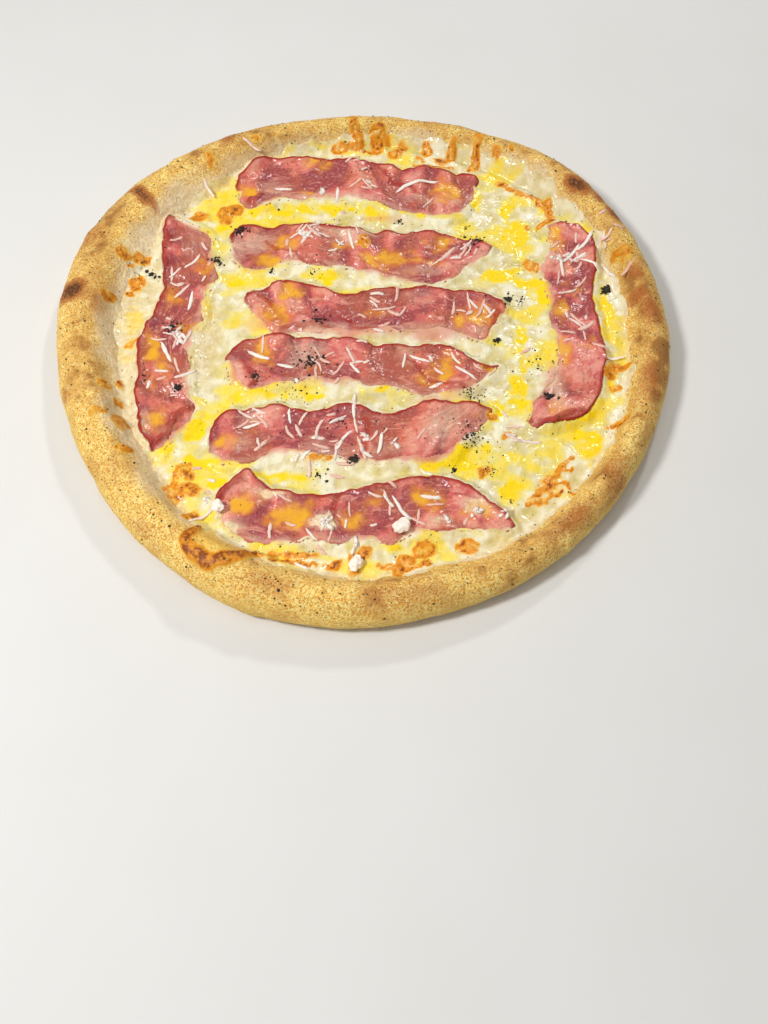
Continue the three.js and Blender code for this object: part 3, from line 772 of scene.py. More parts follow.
def edge_of(mesh):
    """The indices of an open sheet's edge vertices, and each vertex's distance from that edge."""
    count = np.zeros(len(mesh.edges), int)
    for face in mesh.polygons:
        for key in face.loop_indices:
            count[mesh.loops[key].edge_index] += 1
    border = sorted({v for edge in mesh.edges if count[edge.index] == 1 for v in edge.vertices})
    tree = KDTree(len(border))
    for vertex in border:
        tree.insert(mesh.vertices[vertex].co, vertex)
    tree.balance()
    return border, np.array([tree.find(vertex.co)[2] for vertex in mesh.vertices])


# How much darker and leaner than the rest some slices are.
DEEPER = {
    "bacon_left": 0.5, "bacon_row_1": 0.15, "bacon_row_2": 0.25, "bacon_row_3": 0.1, "bacon_row_4": 0.2,
}

# Which way the dried rind faces on each slice, as plan directions: to the far side on the slices that
# lie across, and outwards on the two at the sides.
RIND_FACES = {**{row: (0, 1) for row in ROWS}, "bacon_left": (-1, 0), "bacon_right": (1, 0)}


def build_slice(node, look, material):
    """One slice, rippled and frayed. Gives its mesh, and its edge points with how far each is rind."""
    name = node.replace("bacon", "bacon_slice")
    piece = new_piece(name, to_mesh(slice_sheet(node), name))
    mesh = refine(piece, 3)
    points = points_of(mesh)
    border, edge = edge_of(mesh)
    # The slice straightened out: how far along it, how far aside of its middle, and a number of its own.
    facing = np.array(RIND_FACES[node])
    along, across = points[:, :2] @ np.abs(facing[::-1]), points[:, :2] @ facing
    bow = np.polynomial.Polynomial.fit(along, across, 6)
    aside = across - bow(along)
    own = 0.01 * (ROWS + SIDES).index(node)
    strip = np.column_stack([along, aside, np.full(len(along), own)])
    rind_side = ease(-3 * MM, 6 * MM, aside)
    plan = ragged(points, 31, reach=2.5)
    pooled = marks(plan, YOLK_ON_BACON, soft=0.9) + rolling(points, (0.4, 6, 30), (0.2, 2.5, 34))
    yolk = ease(0.08, 0.9, pooled)

    # It ripples along its length and creases in places. Yolk fills its hollows level.
    stretched = strip * (1, 0.5, 1)
    wave = 2.3 * np.abs(lumps(stretched, 19 * MM, 21)) - 0.5 + 0.35 * lumps(stretched, 30 * MM, 29)
    lift = look.pucker * wave
    lift += look.crinkle * rolling(strip, (1, 7.5, 22), (0.4, 3.4, 23), (0.12, 1.6, 28))
    lift = lift * (1 - 0.85 * yolk) - 0.5 * MM * yolk
    fold = np.zeros(len(points))
    for line, half_width, height in FOLDS:
        here = ease(1.6, 0.3, ridge_distance(plan, line)[0] / half_width)
        lift += height * MM * here
        fold = np.maximum(fold, here)
    # The rind curls up as it dries, and the other edge sinks into the cheese.
    hem = ease(6 * MM, 0, edge)
    lift += hem * rind_side * MM * (0.9 + 1.2 * lumps(strip, 13 * MM, 24))
    lift -= hem * (1 - rind_side) * (lift + 1.1 * MM)
    for axis in (0, 1):
        points[:, axis] += hem * MM * rolling(points, (1.5, 8, 25 + axis), (0.8, 3.5, 35 + axis))
    points[:, 2] += np.clip(lift, -1.3 * MM, 3.0 * MM)
    reshape(mesh, points)

    blend = ease(5 * MM, 0.5 * MM, edge + 2.5 * MM * lumps(strip, 12 * MM, 27))
    blend *= ease(0.5, 0.1, rind_side)
    paint(mesh, "edge", np.clip(edge / (3 * MM), 0, 1))
    paint(mesh, "rind_side", rind_side)
    paint(mesh, "yolk", yolk)
    paint(mesh, "fatty", np.maximum(marks(plan, PALE_ON_BACON, soft=0.6), 0.6 * blend))
    # Painted shade and light: the valleys between the waves are painted darker and the domes lighter;
    # DEEPER adds each slice's own darker meat.
    paint(mesh, "valley_shade_and_deeper_meat", ease(0.5, -0.5, wave) + DEEPER.get(node, 0))
    # Partly painted shade: the sunken creases take the same dark red as the raised, dried folds.
    paint(mesh, "fold", fold)
    paint(mesh, "browned", bubbled(points, browned_marks(plan, 0.5))[0])
    layer = mesh.attributes.new("strip", "FLOAT_VECTOR", "POINT")
    layer.data.foreach_set("vector", strip.ravel().astype(np.float32))
    edge_points = np.column_stack([points[border], rind_side[border]])

    wall = piece.modifiers.new("Thickness", "SOLIDIFY")
    wall.thickness, wall.offset = look.thickness, -1
    settle(piece)
    finish_piece(piece, material, [node])
    return piece.data, edge_points


def bacon_material(look):
    """Cured pork belly, baked: moist streaky meat, glossy with fat, its rind dried dark red."""
    material, tree, place = new_material("cured_bacon_baked")
    strip = add(tree, "Attribute", {"attribute_name": "strip"}).outputs["Vector"]
    mark = painted(tree, "edge", "rind_side", "yolk", "fatty", "valley_shade_and_deeper_meat", "fold", "browned")
    # Muscle fibres run along the slice, so the streaks are drawn out that way.
    drawn = add(tree, "Mapping", {}, {"Vector": strip, "Scale": (0.4, 1.0, 1.0)})
    streak = add(tree, "TexNoise", {}, {
        "Vector": drawn, "Scale": per(4), "Detail": 5.0, "Roughness": 0.65, "Distortion": 1.3,
    })
    blotch = add(tree, "TexNoise", {}, {
        "Vector": strip, "Scale": per(11), "Detail": 4.0, "Roughness": 0.6, "Distortion": 0.5,
    })
    fine = add(tree, "TexNoise", {}, {"Vector": place, "Scale": per(1.5), "Detail": 3.0, "Roughness": 0.65})
    # Painted shade in the valleys and painted light on the domes, shifting the blotches toward mauve or
    # toward salmon.
    shade = add(tree, "MapRange", {}, {"Value": mark["valley_shade_and_deeper_meat"], "To Min": -0.17, "To Max": 0.2})
    blotches_and_shade = add(tree, "Math", PLUS, {0: blotch, 1: shade})
    meat = coats(
        tree, look.lean,
        (blotches_and_shade, 0.46, 0.63, 1.0, look.mauve),
        (blotches_and_shade, 0.46, 0.3, 0.8, look.salmon),
        (streak, 0.52, 0.68, 0.66, look.salmon),
        (streak, 0.45, 0.3, 0.8, ink("#B04440")),
    )
    grain = add(tree, "MapRange", {}, {"Value": fine, "From Min": 0.55, "From Max": 0.72, "To Max": 0.5})
    meat = add(tree, "Mix", RGBA, {"Factor": grain, "A": meat, "B": ink("#F4B8A4")})
    # Fat is whiter where it is thick, and curdled like the cream that runs over it.
    curd = add(tree, "MapRange", {}, {
        "Value": streak, "From Min": 0.35, "From Max": 0.55, "To Min": 0.4, "To Max": 0.85,
    })
    fat = add(tree, "Math", TIMES, {0: mark["fatty"], 1: curd})
    meat = add(tree, "Mix", RGBA, {"Factor": fat, "A": meat, "B": look.fat})
    meat = coats(tree, meat, (fat, 0.6, 1.0, 0.85, ink("#F4E4B8")))
    # Yolk that soaked in thinly turns broad areas of the meat orange.
    soaked = add(tree, "TexNoise", {}, {"Vector": place, "Scale": per(22), "Detail": 3.0, "Roughness": 0.5})
    meat = coats(tree, meat, (soaked, 0.42, 0.62, 0.22, ink("#E28A4A")))
    # Yolk is orange where it thins over the meat, and yellow where it stands deeper.
    depth = add(tree, "MapRange", {}, {
        "Value": blotch, "From Min": 0.35, "From Max": 0.65, "To Min": 1.1, "To Max": 0.75,
    })
    wet = add(tree, "Math", TIMES, {0: mark["yolk"], 1: depth})
    pool = coats(tree, look.yolk, (wet, 0.4, 1.0, 1.0, ink("#ECAC26")))
    meat = add(tree, "Mix", RGBA, {"Factor": wet, "A": meat, "B": pool})
    meat = browned_over(tree, meat, mark["browned"])
    # The rind is a thin dark line, fainter along the slice's other edge. Raised folds dry dark as well; in
    # the sunken creases the same dark red is painted shade.
    line = add(tree, "MapRange", SOFT, {"Value": mark["edge"], "From Min": 0.6, "From Max": 0.14})
    facing = add(tree, "MapRange", {}, {"Value": mark["rind_side"], "To Min": 0.3, "To Max": 1.0})
    rind = add(tree, "Math", TIMES, {0: line, 1: facing})
    # Painted shade in the sunken creases, real dried meat on the raised folds.
    dried = add(tree, "Math", TIMES, {0: mark["fold"], 1: 0.7})
    rind = add(tree, "Math", {"operation": "MAXIMUM"}, {0: rind, 1: dried})
    meat = add(tree, "Mix", RGBA, {"Factor": rind, "A": meat, "B": look.rind})
    rough = add(tree, "MapRange", {}, {"Value": fine, **NOISE_RANGE, "To Min": 0.3, "To Max": 0.55})
    relief = add(tree, "Math", {"operation": "ADD"}, {0: streak, 1: fine})
    sharp = add(tree, "MapRange", {}, {"Value": wet, "To Min": 1.0, "To Max": 0.15})
    bump = add(tree, "Bump", {}, {"Height": relief, "Strength": sharp, "Distance": 0.9 * MM})
    # The melted fat on top is smoother than the meat, so it glints in small spots.
    film = add(tree, "TexNoise", {}, {"Vector": place, "Scale": per(3), "Detail": 1.0})
    glaze = add(tree, "Bump", {}, {"Height": film, "Strength": 0.5, "Distance": 1.2 * MM})
    shader = add(tree, "BsdfPrincipled", {}, {
        "Base Color": meat, "Roughness": rough, "Normal": bump, "Subsurface Weight": 0.12,
        "Subsurface Radius": (1.0, 0.35, 0.25), "Subsurface Scale": 1.5 * MM, "Specular IOR Level": 0.2,
        "Coat Weight": 0.45, "Coat Roughness": 0.2, "Coat Normal": glaze,
    })
    add(tree, "OutputMaterial", {}, {"Surface": shader})
    return material


# ------------------------------------------------------------------ cheese


def nearest_edge(flat, edge_points):
    """For each plan place, the nearest edge point of a slice, and the distance to it."""
    tree = KDTree(len(edge_points))
    for number, (x, y, _, _) in enumerate(edge_points.tolist()):
        tree.insert((x, y, 0), number)
    tree.balance()
    found = [tree.find(place)[1:] for place in flat.tolist()]
    return edge_points[[number for number, _ in found]], np.array([distance for _, distance in found])


def build_cheese(look, rim, crust, slices, edge_points):
    """The melted cheese: hummocks and ropes on the base, a thin film up the rim, close round the slices."""
    low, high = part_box("cheese_layer")
    half = max(abs(low.x), abs(low.y), high.x, high.y) + 16 * MM
    segments = int(2 * half / look.spacing)
    bm = bmesh.new()
    bmesh.ops.create_grid(bm, x_segments=segments, y_segments=segments, size=half)
    plan = np.array([vertex.co.xy for vertex in bm.verts])
    flat = np.column_stack([plan, np.zeros(len(plan))])
    share, angle = rim.share(flat)
    # The sheet ends a little past where the cheese does, inside the dough.
    keep = share > by_direction(CREPT_FROM, angle) - 0.34
    outside = [vertex for vertex, inside in zip(list(bm.verts), keep) if not inside]
    bmesh.ops.delete(bm, geom=outside, context="VERTS")
    plan, flat, share, angle = plan[keep], flat[keep], share[keep], angle[keep]

    ground = np.nan_to_num(drop(tree_of(crust), plan), nan=rim.floor)
    packed = drop(tree_of(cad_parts["cheese_layer"].data), plan)
    base = np.where(np.isnan(packed), high.z - 1.2 * MM, packed)
    places = ragged(flat, 45)
    browned, blistered = bubbled(flat, browned_marks(places, 0.75))
    pooled = 1.2 * marks(places, YOLK_ON_CHEESE, soft=0.9) + rolling(flat, (0.45, 7, 59), (0.2, 3, 60))
    yolk = ease(0.12, 0.95, pooled)
    # Melted curds run together into ropes and hummocks. Yolk lies in them in smooth pools.
    ropes = 0.55 - 1.8 * np.abs(lumps(flat * (1, 1.3, 1), 8 * MM, 42))
    soft = rolling(flat, (0.35, 15, 41), (0.45, 6, 43), (0.25, 3, 44), (0.08, 1.5, 48))
    soft = (soft + 0.35 * ropes) * (1 - 0.6 * yolk)
    height = base + look.hummock * soft + blistered - 0.15 * MM * yolk

    # Above its lip the cheese is a film on the rim's slope, thinning out along a ragged line.
    creep = share - by_direction(CREPT_FROM, angle) + rolling(flat, (0.26, 14, 46), (0.14, 5, 47))
    film = ground + look.film * ease(-0.02, 0.2, creep) * (1 + 0.9 * soft) + blistered
    height = np.maximum(height, film - 1.4 * MM * ease(0.03, -0.06, creep))

    # It rises to meet the slices, lies just under them, and laps over their softer edges.
    nearest, away = nearest_edge(flat, edge_points)
    rind_side = nearest[:, 3]
    bacon = tree_of(*slices)
    top = drop(bacon, plan)
    covered = ~np.isnan(top)
    meet = nearest[:, 2] - 0.85 * MM * rind_side - 0.1 * MM * (1 - rind_side)
    rise = np.clip(meet - height, -0.5 * MM, 3.5 * MM) * ease(5 * MM, 0.4 * MM, away)
    height = np.where(covered, height, height + rise)
    below = drop(bacon, plan[covered], start=0, way=1)
    reach = away + MM * rolling(flat, (5, 16, 50), (1, 5, 51))
    lap = (ease(0.5, 0.1, rind_side) * ease(4 * MM, 0, reach))[covered]
    over = top[covered] + 0.3 * MM * ease(0.35, 0.8, lap)
    height[covered] = np.where(lap > 0.35, over, below) - 0.12 * MM

    mesh = to_mesh(bm, "melted_cheese")
    reshape(mesh, np.column_stack([plan, height]))
    drawn = flat * (0.6, 1, 1)
    tint = 0.7 * ease(-0.15, 0.5, rolling(drawn, (1, 14, 52), (0.5, 6, 53)))
    streaks = np.clip(1 + lumps(drawn, 4.5 * MM, 57), 0, 1.25)
    lapped = np.where(covered, ease(0, 3.5 * MM, away + 1 * MM * lumps(flat, 3 * MM, 58)), 0)
    patchy = 0.8 * ease(0.05, 0.45, lumps(flat, 9 * MM, 54))
    fading = ease(0.3, 0.0, creep + 0.12 * lumps(flat, 3 * MM, 66))
    paint(mesh, "yolk", np.maximum(yolk * streaks, tint))
    paint(mesh, "over_meat", np.maximum(lapped, 0.95 * marks(places, BLUSHED, soft=0.7)))
    paint(mesh, "browned", browned)
    # Painted shade and light: the low places of the relief get the darker clear colour, and its lumps a
    # whiter cream.
    paint(mesh, "clot", ease(-0.45, 0.4, soft + 0.35 * ease(0.4, 0.1, creep)))
    paint(mesh, "thin", np.maximum(0.25 * ease(0.3, 0.0, creep), patchy))
    paint(mesh, "fading", np.maximum(fading, marks(places, THINNED, soft=0.7)))
    cheese = new_piece("melted_cheese_layer", mesh)
    close_below(cheese, rim.floor)
    finish_piece(cheese, cheese_material(look), ["cheese_layer"])
    return cheese.data


def close_below(piece, floor):
    """Closes an open sheet with a wall down from its edge and a flat underside, hidden in the dough."""
    bm = bmesh.new()
    bm.from_mesh(piece.data)
    border = [edge for edge in bm.edges if edge.is_boundary]
    made = bmesh.ops.extrude_edge_only(bm, edges=border)["geom"]
    for vertex in (item for item in made if isinstance(item, bmesh.types.BMVert)):
        vertex.co.z = floor - 1 * MM
    bmesh.ops.edgeloop_fill(bm, edges=[edge for edge in bm.edges if edge.is_boundary])
    bmesh.ops.recalc_face_normals(bm, faces=bm.faces)
    bm.to_mesh(piece.data)
    bm.free()


def cheese_material(look):
    """Melted mozzarella and cream, baked: soft, milky and shiny, soaked with yolk, blistered in spots."""
    material, tree, place = new_material("mozzarella_melted")
    mark = painted(tree, "yolk", "browned", "clot", "thin", "over_meat", "fading")
    clot = add(tree, "TexNoise", {}, {
        "Vector": place, "Scale": per(3), "Detail": 5.0, "Roughness": 0.65, "Distortion": 0.6,
    })
    fine = add(tree, "TexNoise", {}, {"Vector": place, "Scale": per(1.2), "Detail": 3.0, "Roughness": 0.6})
    # Between the clots, in the low places, the clear colour is painted shade that is partly real clear
    # cheese; where it spread thin, it is clear.
    low = add(tree, "MapRange", {}, {
        "Value": mark["clot"], "From Min": 0.5, "From Max": 0.0, "To Max": 0.75,
    })
    thin = add(tree, "Math", TIMES, {0: mark["thin"], 1: 0.42})
    clear = add(tree, "Math", PLUS, {0: low, 1: thin})
    grain = add(tree, "MapRange", {}, {
        "Value": clot, "From Min": 0.36, "From Max": 0.6, "To Min": 1.2, "To Max": 0.45,
    })
    clear = add(tree, "Math", TIMES, {0: clear, 1: grain})
    # Painted light: the tops of the clots are painted whiter.
    skin = coats(tree, look.cream, (mark["clot"], 0.5, 0.95, 0.9, ink("#F5EED0")))
    skin = add(tree, "Mix", RGBA, {"Factor": clear, "A": skin, "B": look.whey_and_low_shade})
    # The yolk has run in: lemon where there is little of it, full yellow where it lies deepest.
    soak = add(tree, "MapRange", {}, {
        "Value": clot, "From Min": 0.35, "From Max": 0.65, "To Min": 0.12, "To Max": -0.15,
    })
    yolk = add(tree, "Math", PLUS, {0: mark["yolk"], 1: soak})
    skin = coats(tree, skin, (yolk, 0.05, 0.5, 0.8, ink("#F0DE68")), (yolk, 0.4, 0.9, 1.0, look.yolk))
    # Where it laps over a slice the meat shows through.
    through = add(tree, "Math", TIMES, {0: mark["over_meat"], 1: 0.88})
    skin = add(tree, "Mix", RGBA, {"Factor": through, "A": skin, "B": ink("#DE8C7A")})
    # Where it runs out on the rim, the dough shows through it.
    fading = add(tree, "Math", TIMES, {0: mark["fading"], 1: 0.8})
    seen = coats(tree, ink("#D8BC8A"), (clot, 0.38, 0.62, 1.0, ink("#EFDCB2")))
    skin = add(tree, "Mix", RGBA, {"Factor": fading, "A": skin, "B": seen})
    speckle = add(tree, "MapRange", {}, {"Value": fine, **NOISE_RANGE, "To Min": -0.12, "To Max": 0.12})
    baked = add(tree, "Math", PLUS, {0: mark["browned"], 1: speckle})
    skin = browned_over(tree, skin, baked)
    relief = add(tree, "Math", {"operation": "MULTIPLY_ADD"}, {0: fine, 1: 0.3, 2: clot})
    bump = add(tree, "Bump", {}, {"Height": relief, "Strength": 0.8, "Distance": 0.9 * MM})
    film = add(tree, "TexNoise", {}, {"Vector": place, "Scale": per(3.5), "Detail": 1.0})
    glaze = add(tree, "Bump", {}, {"Height": film, "Strength": 0.4, "Distance": 1.2 * MM})
    rough = add(tree, "MapRange", {}, {"Value": clot, **NOISE_RANGE, "To Min": 0.3, "To Max": 0.5})
    shader = add(tree, "BsdfPrincipled", {}, {
        "Base Color": skin, "Roughness": rough, "Normal": bump, "Subsurface Weight": 0.2,
        "Subsurface Radius": (1.0, 0.8, 0.45), "Subsurface Scale": 1.2 * MM,
        "Specular IOR Level": 0.2, "Coat Weight": 0.38, "Coat Roughness": 0.16, "Coat Normal": glaze,
    })
    add(tree, "OutputMaterial", {}, {"Surface": shader})
    return material


# ------------------------------------------------------------------ grated cheese, pepper and herbs


def template(make):
    """Points and faces of a small shape that is copied many times."""
    bm = bmesh.new()
    make(bm)
    points = np.array([vertex.co[:] for vertex in bm.verts])
    faces = [[vertex.index for vertex in face.verts] for face in bm.faces]
    bm.free()
    return points, faces


def joined(name, copies):
    """One mesh from many copies, each given as its points, its faces and its tone from 0 to 1."""
    places, faces, tones = [], [], []
    count = 0
    for points, loops, tone in copies:
        places.append(points)
        faces += [[index + count for index in loop] for loop in loops]
        tones += [tone] * len(points)
        count += len(points)
    mesh = bpy.data.meshes.new(name)
    mesh.from_pydata(np.concatenate(places).tolist(), [], faces)
    mesh.update()
    paint(mesh, "tone", tones)
    return mesh


SHRED_STEPS = 9  # straight lengths in one bent shred


def strip_shape(bm):
    """A bar one unit long, cut into short lengths so that it can bend."""
    bmesh.ops.create_cube(bm, size=1)
    long_edges = [e for e in bm.edges if abs((e.verts[0].co - e.verts[1].co).normalized().x) > 0.9]
    bmesh.ops.subdivide_edges(bm, edges=long_edges, cuts=SHRED_STEPS - 1, use_grid_fill=True)
    bm.verts.index_update()


def grain_shape(bm):
    """A rough ball one unit across, for grains, curds and flecks."""
    bmesh.ops.create_icosphere(bm, subdivisions=1, radius=0.5)
    bm.verts.index_update()


def lay_shred(shape, ground, rng, look, x, y, size, turn, bend):
    """A copy of the bar, bent to an arc, torn at its ends, and laid on the surface below it."""
    points, faces = shape
    share = points[:, 0]
    stations = np.linspace(-0.5, 0.5, SHRED_STEPS + 1)
    headings = math.radians(turn) + math.radians(bend) * stations + rng.normal(0, 0.08, len(stations))
    steps = np.column_stack([np.cos(headings), np.sin(headings)]) * size / SHRED_STEPS * MM
    line = np.cumsum(steps, axis=0)
    line = line - line.mean(axis=0) + np.array([x, y]) * MM
    # It's too stiff to follow every bump, so it lies on the high ones.
    rest = drop(ground, line)
    rest = np.fmax(rest, np.nanmax(rest) - 0.35 * size * MM)
    stiff = np.convolve(np.pad(rest, 1, mode="edge"), np.ones(3) / 3, mode="valid")
    rest = np.maximum(stiff, rest - 0.1 * MM)
    is_long = size > 12
    width = look.shred_width * (1.2 if is_long else 1) * rng.uniform(0.75, 1.2)
    width = width * (1 + 0.15 * rng.normal(0, 1, len(stations)))
    width *= 1 - 0.5 * np.abs(2 * stations) ** 4
    width[[0, -1]] *= rng.uniform(0.2, 0.7, 2)
    thickness = look.shred_thickness * rng.uniform(0.7, 1.2)
    turns = np.interp(share, stations, headings)
    middle = np.column_stack([np.interp(share, stations, line[:, axis]) for axis in (0, 1)])
    sideways = np.column_stack([-np.sin(turns), np.cos(turns)])
    aside = points[:, 1] * np.interp(share, stations, width)
    tilt = rng.uniform(-0.3, 0.3)
    made = np.empty_like(points)
    made[:, :2] = middle + sideways * aside[:, None]
    made[:, 2] = np.interp(share, stations, rest) + thickness * (0.35 + points[:, 2]) + tilt * aside
    # Long shreds are the coarsest and have melted least, so they're the whitest.
    return made, faces, min(rng.uniform(0, 1) + (0.4 if is_long else 0), 1)


def lay_topping(name, copies, material):
    """One piece made of many copies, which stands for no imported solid."""
    finish_piece(new_piece(name, joined(name, copies)), material)


def scattered(rng, x, y, spread, count):
    """Random plan places round one, in millimetres, thickest at its middle."""
    return np.array([x, y]) + rng.normal(0, spread / 2, (count, 2))


def build_grated(look, ground):
    """The hard cheese: long shreds where they are listed, short ones between, curds and crumbs."""
    rng = np.random.default_rng(61)
    material = grated_material(look)
    shape = template(strip_shape)
    copies = [lay_shred(shape, ground, rng, look, *shred) for shred in LONG_SHREDS]
    for x, y, spread, count in SHRED_SHOWERS:
        for _ in range(count):
            place = scattered(rng, x, y, spread, 1)[0]
            size, turn, bend = rng.uniform(3, 10), rng.uniform(0, 180), rng.uniform(-50, 50)
            copies.append(lay_shred(shape, ground, rng, look, *place, size, turn, bend))
    lay_topping("grated_cheese_shreds", copies, material)

    places = np.concatenate([scattered(rng, *heap) for heap in CURDS]) * MM
    sizes = rng.uniform(1.4, 3.4, len(places)) * MM
    points, faces = template(grain_shape)
    curds = scatter((points * (1.6, 0.8, 1), faces), ground, rng, places, sizes, 0.35)
    curds = [(points, faces, 0.75 + 0.25 * tone) for points, faces, tone in curds]
    lay_topping("broken_cheese_curds", curds, material)

    for node in CRUMBS:
        name = node.replace("cheese_crumb", "hard_cheese_crumb")
        crumb = new_piece(name, to_mesh(solid_copy(node), name))
        mesh = refine(crumb, 2)
        points, normals = points_of(mesh), normals_of(mesh)
        chip = 1.6 * np.abs(lumps(points, 3.2 * MM, 62)) + 0.4 * lumps(points, 1.6 * MM, 63) - 0.5
        reshape(mesh, points + normals * (chip * MM)[:, None])
        paint(mesh, "tone", np.full(len(points), 0.9))
        finish_piece(crumb, material, [node])


def grated_material(look):
    """Aged hard cheese, grated: off-white, slightly see-through where it has begun to melt."""
    material, tree, place = new_material("hard_cheese_grated")
    tone = painted(tree, "tone")["tone"]
    crumb = add(tree, "TexNoise", {}, {"Vector": place, "Scale": per(1), "Detail": 3.0})
    melted = add(tree, "MapRange", {}, {"Value": tone, "From Min": 0.95, "From Max": 0.3, "To Max": 0.95})
    skin = add(tree, "Mix", RGBA, {"Factor": melted, "A": look.grated, "B": ink("#F2BEAC")})
    dull = add(tree, "MapRange", {}, {"Value": crumb, "From Min": 0.45, "From Max": 0.3, "To Max": 0.3})
    skin = add(tree, "Mix", RGBA, {"Factor": dull, "A": skin, "B": ink("#E2C79A")})
    rough = add(tree, "MapRange", {}, {"Value": crumb, **NOISE_RANGE, "To Min": 0.35, "To Max": 0.6})
    bump = add(tree, "Bump", {}, {"Height": crumb, "Strength": 0.5, "Distance": 0.3 * MM})
    shader = add(tree, "BsdfPrincipled", {}, {
        "Base Color": skin, "Roughness": rough, "Normal": bump, "Subsurface Weight": 0.3,
        "Subsurface Radius": (1.0, 0.8, 0.6), "Subsurface Scale": 1 * MM,
    })
    add(tree, "OutputMaterial", {}, {"Surface": shader})
    return material


def scatter(shape, ground, rng, places, sizes, squash):
    """Copies of a grain, each stretched and turned at random and set down at its place."""
    points, faces = shape
    heights = drop(ground, places)
    for (x, y), z, size in zip(places, heights, sizes):
        if np.isnan(z):
            continue
        stretch = rng.uniform(0.6, 1.3, 3) * (1, 1, squash)
        turn = rng.uniform(0, 2 * math.pi)
        c, s = math.cos(turn), math.sin(turn)
        chipped = points * (1 + rng.uniform(-0.35, 0.35, (len(points), 1))) * stretch * size
        turned = chipped @ np.array([(c, s, 0), (-s, c, 0), (0, 0, 1)])
        yield turned + (x, y, z + 0.25 * size * squash), faces, rng.uniform(0, 1)


TOPPED = 126 * MM  # how far from the middle the single specks of pepper reach
WITH_DUST = 1.7  # grains to lay for each one listed, so that each heap has its dust
FINEST = 0.35  # size of the finest pepper dust, in millimetres


def build_pepper(look, ground):
    """Cracked pepper: heaps where they are listed, most of their grains fine, and single specks."""
    rng = np.random.default_rng(71)
    places, sizes = [], []
    for x, y, spread, count, largest in PEPPER_HEAPS:
        count = int(WITH_DUST * count)
        strewn = rng.normal(0, spread / 2, (count, 2)) * rng.uniform(0.3, 1.5, (count, 1))
        places.append(np.array([x, y]) + strewn)
        sizes.append(largest * rng.beta(1.2, 2.2, count) + FINEST)
    angle = rng.uniform(0, 2 * math.pi, look.speck_count)
    radius = TOPPED / MM * np.sqrt(rng.uniform(0, 1, look.speck_count))
    places.append(np.column_stack([radius * np.cos(angle), radius * np.sin(angle)]))
    sizes.append(FINEST + 0.9 * rng.beta(1, 5, look.speck_count))
    places, sizes = np.concatenate(places) * MM, np.concatenate(sizes) * MM
    copies = scatter(template(grain_shape), ground, rng, places, sizes, 0.8)
    lay_topping("cracked_pepper_grains", copies, pepper_material(look))


def pepper_material(look):
    """Cracked black peppercorns: almost black husk with a few browner broken faces, slightly waxy."""
    material, tree, place = new_material("black_pepper_cracked")
    tone = painted(tree, "tone")["tone"]
    husk = add(tree, "TexNoise", {}, {"Vector": place, "Scale": per(1.2), "Detail": 2.0})
    broken = add(tree, "Math", TIMES, {0: tone, 1: husk})
    broken = add(tree, "MapRange", {}, {"Value": broken, "From Min": 0.35, "From Max": 0.65})
    skin = add(tree, "Mix", RGBA, {"Factor": broken, "A": look.pepper, "B": ink("#5A4630")})
    rough = add(tree, "MapRange", {}, {"Value": husk, "To Min": 0.4, "To Max": 0.8})
    bump = add(tree, "Bump", {}, {"Height": husk, "Strength": 0.5, "Distance": 0.2 * MM})
    shader = add(tree, "BsdfPrincipled", {}, {"Base Color": skin, "Roughness": rough, "Normal": bump})
    add(tree, "OutputMaterial", {}, {"Surface": shader})
    return material


def build_herbs(look, ground, rim):
    """Dried herb flecks, scattered along the rim, a few more of them outside its crest than inside."""
    rng = np.random.default_rng(81)
    angle = rng.uniform(0, 2 * math.pi, look.fleck_count)
    crest = np.interp(angle, rim.middles, rim.crest)
    radius = crest + rng.normal(3 * MM, 9 * MM, look.fleck_count)
    places = np.column_stack([radius * np.cos(angle), radius * np.sin(angle)])
    sizes = (0.45 + 1.3 * rng.beta(1.1, 4, look.fleck_count)) * MM
    copies = scatter(template(grain_shape), ground, rng, places, sizes, 0.35)
    lay_topping("dried_herb_flecks", copies, herb_material(look))


def herb_material(look):
    """Dried herbs and bran worked into the dough: dull flakes, olive to dark brown."""
    material, tree, place = new_material("dried_herb_flakes")
    tone = painted(tree, "tone")["tone"]
    vein = add(tree, "TexNoise", {}, {"Vector": place, "Scale": per(1), "Detail": 2.0})
    skin = add(tree, "Mix", RGBA, {"Factor": tone, "A": look.herb, "B": ink("#2E2315")})
    bump = add(tree, "Bump", {}, {"Height": vein, "Strength": 0.3, "Distance": 0.1 * MM})
    rough = add(tree, "MapRange", {}, {"Value": vein, "To Min": 0.7, "To Max": 0.95})
    shader = add(tree, "BsdfPrincipled", {}, {"Base Color": skin, "Roughness": rough, "Normal": bump})
    add(tree, "OutputMaterial", {}, {"Surface": shader})
    return material


# ------------------------------------------------------------------ stage


def area_light(name, place, size, power, aim=(0, 0, 0)):
    """A round lamp that faces its aim."""
    data = bpy.data.lights.new(name, "AREA")
    data.shape, data.size, data.energy = "DISK", size, power
    light = new_piece(name, data)
    light.location = place
    light.rotation_euler = (Vector(aim) - Vector(place)).to_track_quat("-Z", "Y").to_euler()


def floor_material(look):
    """Pale plaster: matt, faintly clouded, with the soft unevenness that a trowel leaves."""
    material, tree, place = new_material("pale_plaster_floor")
    cloud = add(tree, "TexNoise", {}, {"Vector": place, "Scale": per(60), "Detail": 3.0})
    rough = add(tree, "MapRange", {}, {"Value": cloud, "To Min": 0.8, "To Max": 0.95})
    tint = add(tree, "Mix", RGBA, {"Factor": cloud, "A": look.floor_colour, "B": ink("#E0DFDC")})
    trowel = add(tree, "TexNoise", {}, {"Vector": place, "Scale": per(5), "Detail": 3.0})
    bump = add(tree, "Bump", {}, {"Height": trowel, "Strength": 0.1, "Distance": 0.2 * MM})
    shader = add(tree, "BsdfPrincipled", {}, {"Base Color": tint, "Roughness": rough, "Normal": bump})
    add(tree, "OutputMaterial", {}, {"Surface": shader})
    return material


